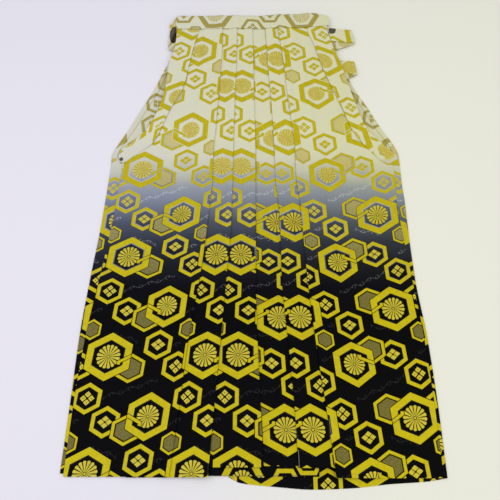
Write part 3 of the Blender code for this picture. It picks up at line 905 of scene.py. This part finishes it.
def folded_front(side, path):
    """The middle surface of one half of the front, with its place on the cloth."""
    points, cloth = [], []
    for k, y in enumerate(HEIGHTS):
        row = {name: values[k] for name, values in front.items()}
        order = spans(row)[side == "right"]
        ends = {name: (low, high) for name, low, high in order}
        line, places = [], []
        for number, run in enumerate(path):
            low, high = ends[run]
            rightwards = number % 2 == 0
            count = RUN_POINTS.get(run, RETURN_POINTS)
            x = np.linspace(low, high, count) if rightwards else np.linspace(high, low, count)
            z = front_height(x, y, order, run) + fold_lift(run, x, y, row)
            at_y = np.full_like(x, hem_shift(y, run))
            strip = run if run in GRAIN else "s" + run[1]
            if number:
                turn = 1 if not rightwards else -1
                angle = np.linspace(0, np.pi, FOLD_POINTS)[1:-1]
                last = line[-1][-1]
                radius = (last[2] - z[0]) / 2
                side_step = np.stack([last[0] + turn * abs(radius) * np.sin(angle),
                                      np.linspace(last[1], at_y[0], FOLD_POINTS)[1:-1],
                                      last[2] - radius + radius * np.cos(angle)], axis=1)
                line.append(side_step)
                places.append(np.repeat(places[-1][-1:], FOLD_POINTS - 2, axis=0))
            line.append(np.stack([x, at_y, z], axis=1))
            places.append(on_cloth(strip, x, at_y))
        points.append(np.concatenate(line))
        cloth.append(np.concatenate(places))
    return np.array(points), np.array(cloth)


LEFT_PATH = ("s0", "r1", "s1", "r2", "s2", "r3")
RIGHT_PATH = ("s3", "r4", "s4", "r5", "s5")
pieces = {}
for side, path in (("left", LEFT_PATH), ("right", RIGHT_PATH)):
    points, cloth = folded_front(side, path)
    pieces[f"front_{side}"] = shell(f"front_{side}", points, cloth)
    dress(pieces[f"front_{side}"], f"front_panel_{side}")

# %% [markdown]
# ## The side leaves
#
# Beside the slits the front's edges are folded forward into two long leaves, the bamboo blades
# that every hakama has there. Each narrows from the band down to its point.

# %% The leaves
LEAF_SHARED = 630  # down to here a leaf keeps to the front's table, and below it to its own
LEAF_TIPS = {"left": ((618, -260, -215), (604, -262.5, -232), (590, -260, -248)),
             "right": ((616, 229, 271), (604, 238, 282), (592, 250, 285), (584, 262, 283))}
LEAF_STEPS, LEAF_POINTS = 150, 40
LEAF_COMES_DOWN = (604, 640)  # from the front to the back beside it
LEAF_FOLD, LEAF_FOLD_SOFT, LEAF_FADE = 0.7, 6, (UNDER_BAND, 880)
# Painted shade: a dark oval standing in for the shadow in the fold where the left leaf ends
LEAF_END_PAINTED_SHADE = (-257.0, 596.5, 3.8, 4.2)  # the shaded fold where the left leaf ends
TIP_LEFT, TIP_SLOPE = (-224, 639.5), 0.83  # the ends' cloth is turned below these lines
TIP_RIGHT, TIP_LEAN = (250, 641), 0.2
GRAIN["leaf_left"] = ((78.0, 66.0), UPRIGHT, ((-132.5, 892.4), (-104.6, 1078.4)))
GRAIN["leaf_right"] = ((60.0, 26.0), TURNED, ((151.9, 901.6), (105.4, 1087.6)))
GRAIN["tip_left"] = ((-16.0, 48.0), UPRIGHT, ((-228.0, 617.0), (-200.0, 803.0)))
GRAIN["tip_right"] = (CHRYSANTHEMUM, TURNED, ((261.0, 613.0), (240.0, 799.0)))


def on_tip(side, x, y):
    if side == "left":
        return y < TIP_LEFT[1] + TIP_SLOPE * (x - TIP_LEFT[0])
    return y < TIP_RIGHT[1] and x > TIP_RIGHT[0] - TIP_LEAN * (TIP_RIGHT[1] - y)


def leaf(side):
    low_name, high_name = ("edge_l", "leaf_l") if side == "left" else ("leaf_r", "edge_r")
    under = "s0" if side == "left" else "s5"
    shared = [(row[0], row[FRONT_COLUMNS.index(low_name)], row[FRONT_COLUMNS.index(high_name)])
              for row in FRONT_ROWS if row[0] >= LEAF_SHARED]
    table = np.array(shared + list(LEAF_TIPS[side]), float)
    heights = np.linspace(table[:, 0].min(), table[:, 0].max(), LEAF_STEPS)
    lows, highs = through(table[:, 0], table[:, 1], heights), through(table[:, 0], table[:, 2], heights)
    values = smooth_table(FRONT_COLUMNS, FRONT_ROWS, heights)
    points, cloth = [], []
    for k, y in enumerate(heights):
        row = {name: column[k] for name, column in values.items()}
        order = spans(row)[side == "right"]
        x = np.linspace(lows[k], highs[k], LEAF_POINTS)
        on_front = ramp(y, *LEAF_COMES_DOWN)
        z = front_height(x, y, order, under) * on_front + (ON_BACK + CAD_WALL / 2) * (1 - on_front)
        fold = highs[k] if side == "left" else lows[k]
        z = z + PITCH + LEAF_FOLD * np.exp(-((x - fold) / LEAF_FOLD_SOFT) ** 2) * ramp(y, *LEAF_FADE)
        points.append(np.stack([x, np.full_like(x, y), z], axis=1))
        cloth.append(on_cloth(f"leaf_{side}", x, np.full_like(x, y)))
    piece = shell(f"leaf_{side}", points, cloth)
    places = piece.data.uv_layers["cloth"].data
    for face in piece.data.polygons:
        if on_tip(side, face.center[0] / MM, (face.center[1] - HEM_LINE) / MM):
            for corner in face.loop_indices:
                at = piece.data.vertices[piece.data.loops[corner].vertex_index].co
                places[corner].uv = on_cloth(f"tip_{side}", at.x / MM, (at.y - HEM_LINE) / MM) * MM
    if side == "left":
        # painted shade in the fold where the leaf ends
        paint_shade(piece, LEAF_END_PAINTED_SHADE)
    return piece


for side in ("left", "right"):
    pieces[f"leaf_{side}"] = leaf(side)
    dress(pieces[f"leaf_{side}"], f"side_leaf_{side}")

# %% [markdown]
# ## The backs and the gore
#
# The back lies under the front, wrong side up, and is a little wider: its edges wrap forward
# round the side seams, and its hem is turned up inside, right side out. Above the slits the edges
# slant, so the cloth that is turned forward lies at twice the slant. The gore joins the legs at
# the crotch. It is cut crosswise and folded in two, and only its lower edge shows between the hems.

# %% The backs
BACK_COLUMNS = ("y", "edge_l", "turn_l", "seam", "turn_r", "edge_r")
BACK_ROWS = (
    (841.5, -172, -166, 0, 170, 176),
    (810, -184.5, -177, 0, 183, 190),
    (764, -201.5, -192, 0, 201, 209),
    (711, -226.5, -216.5, 0, 226, 235.5),
    (665, -247.5, -237.5, 0, 248, 257.5),
    (630, -265.5, -256, 0, 268.5, 277),
    (604, -276, -266, 0, 276.5, 285.5),
    (585, -275.5, -254.3, 0, 272.3, 285.5),
    (550, -277, -256.3, 0, 274.8, 285.5),
    (505, -279.5, -259.3, 0, 273.3, 287.5),
    (450, -283, -264.3, -4, 276.8, 288),
    (350, -292.5, -276.8, -12, 286.3, 291),
    (240, -300.5, -291.3, -21, 296.3, 301),
    (120, -304, -299.3, -31, 301.3, 306),
    (16, -307.5, -302.8, -40, 302.8, 307.5),
)
BACK_HEM = {"left": ((-308, 22), (-220, 21), (-40, 20)),
            "right": ((-40, 17), (-22, 8), (35, 2), (95, -2), (155, 0), (216, 6), (277, 10), (308, 15))}
BACK_STEPS, BACK_POINTS, TURNED_POINTS, HEM_STEPS = 104, 60, 8, 6
SEAM_GAP = 0.3
HEM_TURNED_UP, HEM_STEP = 45.0, 0.2
BACK_HEM_REACH = 100
GRAIN["back_left"] = ((52.0, 80.0), UPRIGHT, ((-201.1, 726.8), (-182.5, 912.8)))
GRAIN["back_right"] = ((-69.3, -8.7), UPRIGHT, ((240.2, 691.2), (240.2, 877.2)))
# Each back's slanting edge is turned forward, so its cloth lies turned by twice the slant
TURNED_EDGE = {
    # side: a place in the chart, where it is as (x, y), and the turn
    "left": ((15.15, -86.8), (-197.55, 702.2), math.radians(-52)),
    "right": ((33.6, -105.3), (244.5, 693.0), math.radians(52)),
}
TURNED_ABOVE = 600.0
GRAIN["wrap_left"] = ((52.0, 36.0), FROM_BEHIND, ((-277.0, 525.9), (-267.7, 711.9)))
GRAIN["wrap_right"] = ((40.0, 146.0), FROM_BEHIND, ((290.1, 480.9), (271.5, 666.9)))
GRAIN["hem_left"] = GRAIN["hem_right"] = ((61.5, 29.0), TURNED, ((118.4, 4.6), (118.4, 190.6)))


def on_turned_edge(side, x, y):
    """The place on the flat cloth, in mm, of a point of a back's turned edge."""
    (u0, v0), (x0, y0), turn = TURNED_EDGE[side]
    u, v = x - x0, y - y0
    cosine, sine = math.cos(turn), math.sin(turn)
    return np.stack([cosine * u + sine * v + u0, cosine * v - sine * u + v0], axis=-1)


def back(side):
    way = -1 if side == "left" else 1
    edge_name, turn_name = ("edge_l", "turn_l") if side == "left" else ("edge_r", "turn_r")
    heights = np.concatenate([np.linspace(BACK_ROWS[-1][0], HEM_TURNED_UP, HEM_STEPS),
                              np.linspace(HEM_TURNED_UP + HEM_STEP, BACK_ROWS[0][0], BACK_STEPS)])
    values = smooth_table(BACK_COLUMNS, BACK_ROWS, heights)
    hem = np.array(BACK_HEM[side], float)
    points, cloth = [], []
    for k, y in enumerate(heights):
        seam = values["seam"][k] + way * SEAM_GAP / 2
        edge, turn = values[edge_name][k], values[turn_name][k]
        flat = np.linspace(edge, seam, BACK_POINTS)
        turned = np.linspace(turn, edge, TURNED_POINTS)
        angle = np.linspace(0, np.pi, FOLD_POINTS)[1:-1]
        x = np.concatenate([turned, edge + way * PITCH / 2 * np.sin(angle), flat])
        z = np.concatenate([np.full(TURNED_POINTS, CLOTH / 2 + PITCH),
                            CLOTH / 2 + PITCH / 2 + PITCH / 2 * np.cos(angle),
                            np.full(BACK_POINTS, CLOTH / 2)])
        share = np.clip((BACK_HEM_REACH - y) / (BACK_HEM_REACH - heights[0]), 0, 1)
        at_y = y + share * (through(hem[:, 0], hem[:, 1], x) - heights[0])
        line = np.stack([x, at_y, z], axis=1)
        place = on_cloth(f"back_{side}" if y > HEM_TURNED_UP else f"hem_{side}", x, at_y)
        if y > TURNED_ABOVE:
            place = on_turned_edge(side, x, at_y)
        else:
            place[:TURNED_POINTS + 2] = on_cloth(f"wrap_{side}", x, at_y)[:TURNED_POINTS + 2]
        points.append(line if side == "right" else line[::-1])
        cloth.append(place if side == "right" else place[::-1])
    piece = shell(f"back_{side}", points, cloth)
    middles = np.array([face.center for face in piece.data.polygons]) - (0, HEM_LINE, 0)
    slots = np.array([face.material_index for face in piece.data.polygons])
    slots[(slots == 1) & (middles[:, 1] < (HEM_TURNED_UP + HEM_STEP / 2) * MM)] = 0
    is_turned_edge = (middles[:, 2] > (CLOTH + PITCH) / 2 * MM) & (middles[:, 1] > TURNED_ABOVE * MM)
    slots[is_turned_edge] = 1
    piece.data.polygons.foreach_set("material_index", slots)
    return piece


for side in ("left", "right"):
    pieces[f"back_{side}"] = back(side)
    dress(pieces[f"back_{side}"], f"back_panel_{side}")

# %% The gore
GORE_COLUMNS = ("y", "fold", "open")
GORE_ROWS = ((500, -12, 25), (380, -30, 52), (240, -48, 76), (120, -61, 92), (17, -72, 105))
GORE_UPPER_HEM, GORE_HEM_REACH = 3.0, 100
GORE_STEPS, GORE_POINTS = 60, 24
GORE_CHART, GORE_PLACE = (17.0, -68.3), (50.5, 26.0)  # a place in the chart, and where it is as (x, y)

heights = np.linspace(GORE_ROWS[-1][0], GORE_ROWS[0][0], GORE_STEPS)
values = smooth_table(GORE_COLUMNS, GORE_ROWS, heights)
low = ON_BACK + CAD_WALL / 2
points, cloth = [], []
for k, y in enumerate(heights):
    fold, opening = values["fold"][k], values["open"][k]
    angle = np.linspace(0, np.pi, FOLD_POINTS)[1:-1]
    below, above = np.linspace(opening, fold, GORE_POINTS), np.linspace(fold, opening, GORE_POINTS)
    x = np.concatenate([below, fold - PITCH / 2 * np.sin(angle), above])
    lifted = low + PITCH
    z = np.concatenate([np.full(GORE_POINTS, low), low + PITCH / 2 - PITCH / 2 * np.cos(angle),
                        np.full(GORE_POINTS, lifted)])
    up = y + np.linspace(0, GORE_UPPER_HEM, len(x)) * ramp(y, GORE_HEM_REACH, heights[0])
    z = z + drape(x, up)
    points.append(np.stack([x, up, z], axis=1))
    cloth.append(np.stack([GORE_CHART[0] + up - GORE_PLACE[1], GORE_CHART[1] - x + GORE_PLACE[0]], axis=-1))
pieces["gore"] = shell("gore", points, cloth)
dress(pieces["gore"], "crotch_gore")

# %% [markdown]
# ## The waistband
#
# The band is a strip of the same brocade cut lengthwise, so its hexagons lie on their sides. Its gold
# is painted duller than the front's, standing in for gold threads turned across that reflect less
# light. It is folded over the front's top edge and sewn down with hidden stitches. Its section is
# drawn from the lower edge over the top and down behind it.

# %% The band
BAND_ROWS = (  # x, and the band's lower and upper edge there
    (-164.5, 914.5, 951.5), (-80, 913, 951), (0, 914.5, 951.5), (85, 917, 955.5),
    (127, 920, 959.5), (164.5, 924.5, 951),
)
BAND_TURN, BAND_OVER_EDGE, BAND_SHOULDER, BAND_EASE, BAND_TUCK = 6.0, 944.5, 8, 6, 1
BAND_PUFF = (0.5, 0.6, 0.4, 1.0)  # how far it stands off at four places from the lower edge to the top
BAND_STEPS, BAND_POINTS = 150, 30
BAND_CHRYSANTHEMUM = (-80.4, 949.0)


def waist_stack(x, row):
    left, right = spans(row)
    count = np.where(x < row["p3"], layers_below(x, left + [("top", 0, 0)], "top"),
                     layers_below(x, right + [("top", 0, 0)], "top"))
    extra = sum(ramp(x, high + SLOPE, high) for name, _, high in left[1:3])
    count = count + np.where(x >= row["p3"], extra, 0)
    for start, stop in ((row["edge_l"], row["leaf_l"]), (row["leaf_r"], row["edge_r"])):
        count = count + np.minimum(ramp(x, start - SLOPE, start), ramp(x, stop + SLOPE, stop))
    return count


band_row = dict(zip(FRONT_COLUMNS, FRONT_ROWS[1]))
band = np.array(BAND_ROWS, float)
xs = np.linspace(band[0, 0], band[-1, 0], BAND_STEPS)
bed_height = ON_BACK + TIES_RISE + BAND_RISE
under = bed_height - SEAM_GAP - CAD_WALL / 2
points, cloth = [], []
for x in xs:
    low, top = through(band[:, 0], band[:, 1], x), through(band[:, 0], band[:, 2], x)
    over = bed_height + PITCH * float(waist_stack(np.array([x]), band_row)[0]) + CAD_WALL / 2
    crest = (under + over) / 2
    corners = np.array([(low, over), (low + BAND_EASE, over + BAND_PUFF[0]),
                        (BAND_OVER_EDGE - BAND_SHOULDER, over + BAND_PUFF[1]),
                        (BAND_OVER_EDGE, over + BAND_PUFF[2]),
                        ((BAND_OVER_EDGE + top) / 2, (crest + over) / 2 + BAND_PUFF[3]),
                        (top, crest), (top - BAND_TURN, under), (low + BAND_TUCK, under)], float)
    length = np.concatenate([[0], np.cumsum(np.hypot(*np.diff(corners, axis=0).T))])
    at = np.linspace(0, length[-1], BAND_POINTS)
    y, z = through(length, corners[:, 0], at), through(length, corners[:, 1], at)
    points.append(np.stack([np.full_like(y, x), y, z], axis=1))
    cloth.append(np.stack([-(low + at - BAND_CHRYSANTHEMUM[1]),
                           np.full_like(at, x - BAND_CHRYSANTHEMUM[0])], axis=1))
points = np.array(points).transpose(1, 0, 2)
cloth = np.array(cloth).transpose(1, 0, 2)
pieces["band"] = shell("band", points, cloth, "band_brocade", "band_brocade")
dress(pieces["band"], "waistband")

# %% [markdown]
# ## The ties
#
# The front ties leave the band's ends and are tucked away behind the front, folded under
# themselves at slanted creases. The back ties are sewn to a stiff board at the small of the back
# and lie folded over it. What is tucked away is flat, so each tie is a ribbon along its route.

# %% The front ties
TIE_WIDTH = 34.0
TIE_LEFT = ((-164.8, 931, 6.5, False), (-178, 906, 4.4, True), (-163, 872, 4.4, False),
            (-150, 836, 4.4, True), (-124, 817, 3.1, False), (-46, 790, 1.8, False))
TIE_RIGHT = ((164.8, 903, 6.0, False), (214.5, 897, 5.7, True),
             (128, 860, 4.4, True), (172, 822, 3.1, False), (215, 816, 4.4, True),
             (160, 790, 3.1, False), (134, 715, 1.8, False))
# Painted shade: a dark oval on each tie beside the band's end, standing in for the shadowed opening there
TIE_PAINTED_SHADE = {  # its middle as x and y, half its width and half its height
    "left": (-169, 902, 9, 22),
    "right": (170, 914, 9, 10),
}
CREASE_MOST = 1.6
TIE_STEPS, TIE_POINTS = 30, 25
FOLD_LENGTH = 3.0  # a piece of the route that is shorter than this is a fold
TIE_CHART = {"left": (79.7, -17.0), "right": (68.9, -17.0)}


def turned_left(way):
    return np.array((-way[1], way[0]))


def unit(way):
    return way / (np.hypot(*way) or 1.0)


def tie_edges(route):
    """The two edges of the tie at each stop, and on both sides of each fold."""
    places = [np.array(stop[:2], float) for stop in route]
    ways = [unit(b - a) for a, b in zip(places, places[1:])]
    rows, upward = [], 1
    for number, (_, _, z, folds) in enumerate(route):
        before, after = ways[max(number - 1, 0)], ways[min(number, len(ways) - 1)]
        if folds:
            crease = unit(before + after)
            sine = abs(crease[0] * before[1] - crease[1] * before[0])
            half = crease * TIE_WIDTH / 2 / max(sine, 1 / CREASE_MOST)
            half = half * (1 if crease.dot(turned_left(before)) > 0 else -1)
        elif number == 0:
            half = np.array((0, TIE_WIDTH / 2)) * (1 if before[0] > 0 else -1)
        else:
            half = turned_left(before) * TIE_WIDTH / 2
        half = half * upward
        edges = [places[number] + half, places[number] - half]
        rows.append([np.array((*edge, z)) for edge in edges])
        if folds:
            out = unit(turned_left(half))
            out = out * (1 if out.dot(before) > 0 else -1)
            rows.append([np.array((*(edge + out * PITCH / 2), z - PITCH / 2)) for edge in edges])
            upward = -upward
            rows.append([np.array((*edge, z - PITCH)) for edge in edges])
    return rows


def ribbon(rows, chart_u, chart_v):
    """The tie's middle surface and its place on the cloth, from edge to edge at each station."""
    stations, run = [], 0.0
    for first, second in zip(rows, rows[1:]):
        length = np.linalg.norm((second[0] + second[1] - first[0] - first[1]) / 2)
        count = TIE_STEPS if length > FOLD_LENGTH else 2
        for t in np.arange(count) / count:
            start, stop = [a + (b - a) * t for a, b in zip(first, second)]
            stations.append((start, stop, run + length * t))
        run += length
    stations.append((*rows[-1], run))
    share = np.linspace(0, 1, TIE_POINTS)[:, None]
    points = [start + (stop - start) * share for start, stop, _ in stations]
    cloth = [np.stack([np.full(TIE_POINTS, chart_u - past), share[:, 0] * TIE_WIDTH + chart_v], axis=1)
             for _, _, past in stations]
    return np.array(points)[::-1], np.array(cloth)[::-1]


for side, route in (("left", TIE_LEFT), ("right", TIE_RIGHT)):
    name = f"tie_front_{side}"
    points, cloth = ribbon(tie_edges(route), *TIE_CHART[side])
    pieces[name] = shell(name, points, cloth, "brocade_inside", "brocade")
    # painted shade where the tie leaves the band's end
    paint_shade(pieces[name], TIE_PAINTED_SHADE[side])
    dress(pieces[name], f"front_tie_{side}")

# %% The board and the back ties
BOARD_OUTLINE = ((-105, 841.8), (105, 841.8), (105, 880), (78, 928), (-78, 928), (-105, 880))
BOARD_T, BOARD_ROUND, BOARD_ROUND_STEPS, BOARD_SHARP = 3.0, 0.8, 3, math.radians(40)
BACK_TIE_Y = (846.5, 876.5)
BACK_TIE_PATH = ((105.3, 1.5), (116, 1.5), (122, 1.8), (123, 2.65), (122, 3.6), (116, 3.8), (12, 3.8),
                 (11.35, 4.45), (12, 5.1), (98, 5.1))

bm = bmesh.new()
base = bm.faces.new([bm.verts.new((x * MM, y * MM + HEM_LINE, 0)) for x, y in BOARD_OUTLINE])
lifted = bmesh.ops.extrude_face_region(bm, geom=[base])
top = [item for item in lifted["geom"] if isinstance(item, bmesh.types.BMVert)]
bmesh.ops.translate(bm, verts=top, vec=(0, 0, BOARD_T * MM))
edges = [edge for edge in bm.edges if any(vert in top for vert in edge.verts)]
bmesh.ops.bevel(bm, geom=edges, offset=BOARD_ROUND * MM, segments=BOARD_ROUND_STEPS, affect="EDGES")
bmesh.ops.recalc_face_normals(bm, faces=bm.faces)
places = bm.loops.layers.uv.new("cloth")
for face in bm.faces:
    for loop in face.loops:
        x, y, z = loop.vert.co
        loop[places].uv = (-(y - HEM_LINE), x)
mesh = bpy.data.meshes.new("board")
bm.to_mesh(mesh)
bm.free()
# the board's cover takes the band's finish, its gold painted dimmer for threads turned across
mesh.materials.append(cloths["band_brocade"])
mesh.shade_smooth()
mesh.set_sharp_from_angle(angle=BOARD_SHARP)
pieces["board"] = bpy.data.objects.new("board", mesh)
bpy.context.collection.objects.link(pieces["board"])
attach(pieces["board"], "root")
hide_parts("back_board")
print("board:", len(mesh.polygons), "faces")

for side, way in (("left", -1), ("right", 1)):
    path = np.array(BACK_TIE_PATH, float)
    length = np.concatenate([[0], np.cumsum(np.hypot(*np.diff(path, axis=0).T))])
    across = np.linspace(*BACK_TIE_Y, TIE_POINTS)
    if side == "left":
        across = across[::-1]
    points = [[(way * x, y, z) for y in across] for x, z in path]
    cloth = [[(y - BACK_TIE_Y[0], run) for y in across] for run in length]
    name = f"tie_back_{side}"
    # the back ties take the band's finish, their gold painted dimmer for threads turned across
    pieces[name] = shell(name, points, cloth, "band_brocade", "band_brocade")
    dress(pieces[name], f"back_tie_{side}")

# %% [markdown]
# ## Stitches
#
# The band is sewn down with blind stitches, of which only dots of thread show. Each slit ends in a
# bar tack, and two pleats near the hem carry a pale tacking thread. A row of stitches repeats
# one small shape along a path, with hand-made unevenness, which is what Geometry Nodes are for.
# The tree sets a short bead of thread at each step of the path and turns it along the path.

# %% The stitch tree
STITCH_INPUTS = (("Path", "NodeSocketGeometry"), ("Step", "NodeSocketFloat"), ("Length", "NodeSocketFloat"),
                 ("Thickness", "NodeSocketFloat"), ("Thread", "NodeSocketMaterial"))
LEAST, MOST, SEED = 0.8, 1.2, 5
THREAD_SIDES, THREAD_RINGS = 8, 4
TWISTS, THREAD_ROUGH, THREAD_SPECULAR = 900.0, 0.6, 0.2

stitches = bpy.data.node_groups.new("stitches", "GeometryNodeTree")
sockets = {label: stitches.interface.new_socket(label, in_out="INPUT", socket_type=kind).identifier
           for label, kind in STITCH_INPUTS}
stitches.interface.new_socket("Stitches", in_out="OUTPUT", socket_type="NodeSocketGeometry")
entry = {wire.socket.name: wire for wire in put(stitches, "NodeGroupInput")}
path = put(stitches, "GeometryNodeMeshToCurve", (entry["Path"],))[0]
steps = put(stitches, "GeometryNodeResampleCurve", {"Curve": path, "Length": entry["Step"]}, mode="LENGTH")[0]
bead = put(stitches, "GeometryNodeMeshUVSphere", (THREAD_SIDES, THREAD_RINGS, 0.5))[0]
tangent = put(stitches, "GeometryNodeInputTangent")[0]
turn = put(stitches, "FunctionNodeAlignRotationToVector", (None, None, tangent), axis="X")[0]
chance = stitches.nodes.new("FunctionNodeRandomValue")
chance.data_type = "FLOAT"
for label, value in (("Min_001", LEAST), ("Max_001", MOST), ("Seed", SEED)):
    next(s for s in chance.inputs if s.identifier == label).default_value = value
varied = entry["Length"] * Wire(next(s for s in chance.outputs if s.identifier == "Value_001"))
size = put(stitches, "ShaderNodeCombineXYZ", (varied, entry["Thickness"], entry["Thickness"]))[0]
spread = put(stitches, "GeometryNodeInstanceOnPoints",
             {"Points": steps, "Instance": bead, "Rotation": turn, "Scale": size})[0]
real = put(stitches, "GeometryNodeRealizeInstances", (spread,))[0]
finished = put(stitches, "GeometryNodeSetMaterial", (real, None, entry["Thread"]))[0]
put(stitches, "NodeGroupOutput", (finished,))
print("the stitch tree has", len(stitches.nodes), "nodes")


def thread(name, light, dark):
    """Twisted thread: fine slanting bands of two shades."""
    finish, tree, shader = new_material(name, THREAD_ROUGH)
    place = put(tree, "ShaderNodeTexCoord")[OBJECT_PLACE]
    twist = put(tree, "ShaderNodeTexWave", (place, TWISTS, 1.0), bands_direction="DIAGONAL")[1]
    give(tree, shader["Base Color"], mixed(twist, light, dark))
    shader["Specular IOR Level"].default_value = THREAD_SPECULAR
    return finish


threads = {"silk": thread("silk_thread", linear(92, 84, 58), linear(58, 52, 38)),
           "tacking": thread("tacking_thread", linear(200, 200, 192), linear(160, 160, 152))}
print("threads:", ", ".join(threads))

# %% Rows of stitches
STITCHES = {
    # row: thread, step, length and thickness in mm
    "blind": ("silk", 5.2, 1.3, 0.5),
    "bar": ("silk", 1.1, 1.5, 0.7),
    "tacking": ("tacking", 2.6, 2.7, 0.6),
}
BLIND_IN, BLIND_HALF = 1.2, 160  # above the band's lower edge, and half the row's length
BAR_TACKS = {"left": (-259.0, -247.0, 588.0), "right": (264.0, 274.0, 586.0)}  # from x to x, at y
TACKED = (("s4", 18, 46), ("s5", 74, 104))  # run, from y to y
TACKING_IN = 0.6
BLIND_POINTS, BAR_POINTS, TACKING_POINTS = 120, 6, 12


def sew(name, kind, path, node):
    """One row of stitches along a path in mm."""
    thread_name, step, length, thickness = STITCHES[kind]
    corners = np.array(path, float) * MM
    corners[:, 1] += HEM_LINE
    mesh = bpy.data.meshes.new(name)
    mesh.from_pydata(corners.tolist(), [(k, k + 1) for k in range(len(corners) - 1)], [])
    piece = bpy.data.objects.new(name, mesh)
    bpy.context.collection.objects.link(piece)
    modifier = piece.modifiers.new("stitches", "NODES")
    modifier.node_group = stitches
    for label, value in (("Step", step * MM), ("Length", length * MM), ("Thickness", thickness * MM),
                         ("Thread", threads[thread_name])):
        modifier[sockets[label]] = value
    sewn = piece.evaluated_get(bpy.context.evaluated_depsgraph_get())
    made = bpy.data.meshes.new_from_object(sewn)
    piece.modifiers.clear()
    piece.data = made
    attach(piece, "root")
    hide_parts(node)
    print(f"{name}: {len(made.polygons)} faces")


def front_row(y):
    values = smooth_table(FRONT_COLUMNS, FRONT_ROWS, np.array([y], float))
    return {name: float(column[0]) for name, column in values.items()}


def top_of(run, x, y):
    """A point on the upper side of one run of the front."""
    row, at = front_row(y), np.array([x], float)
    order = spans(row)[run in RIGHT_PATH]
    z = front_height(at, y, order, run) + fold_lift(run, at, y, row) + CLOTH / 2
    return x, hem_shift(y, run), z[0]


band_edge = [(x, through(band[:, 0], band[:, 1], x) + BLIND_IN,
              bed_height + PITCH * float(waist_stack(np.array([x]), band_row)[0]) + CAD_WALL / 2 + CLOTH / 2)
             for x in np.linspace(-BLIND_HALF, BLIND_HALF, BLIND_POINTS)]
sew("blind_stitches", "blind", band_edge, "waistband")
for side, (start, stop, y) in BAR_TACKS.items():
    run = "s0" if side == "left" else "s5"
    row = [top_of(run, x, y) for x in np.linspace(start, stop, BAR_POINTS)]
    sew(f"bar_tack_{side}", "bar", row, f"front_panel_{side}")
for number, (run, start, stop) in enumerate(TACKED, 1):
    row = [top_of(run, front_row(y)[FOLD_OF[run]] + TACKING_IN, y)
           for y in np.linspace(start, stop, TACKING_POINTS)]
    sew(f"tacking_{number}", "tacking", row, "front_panel_right")
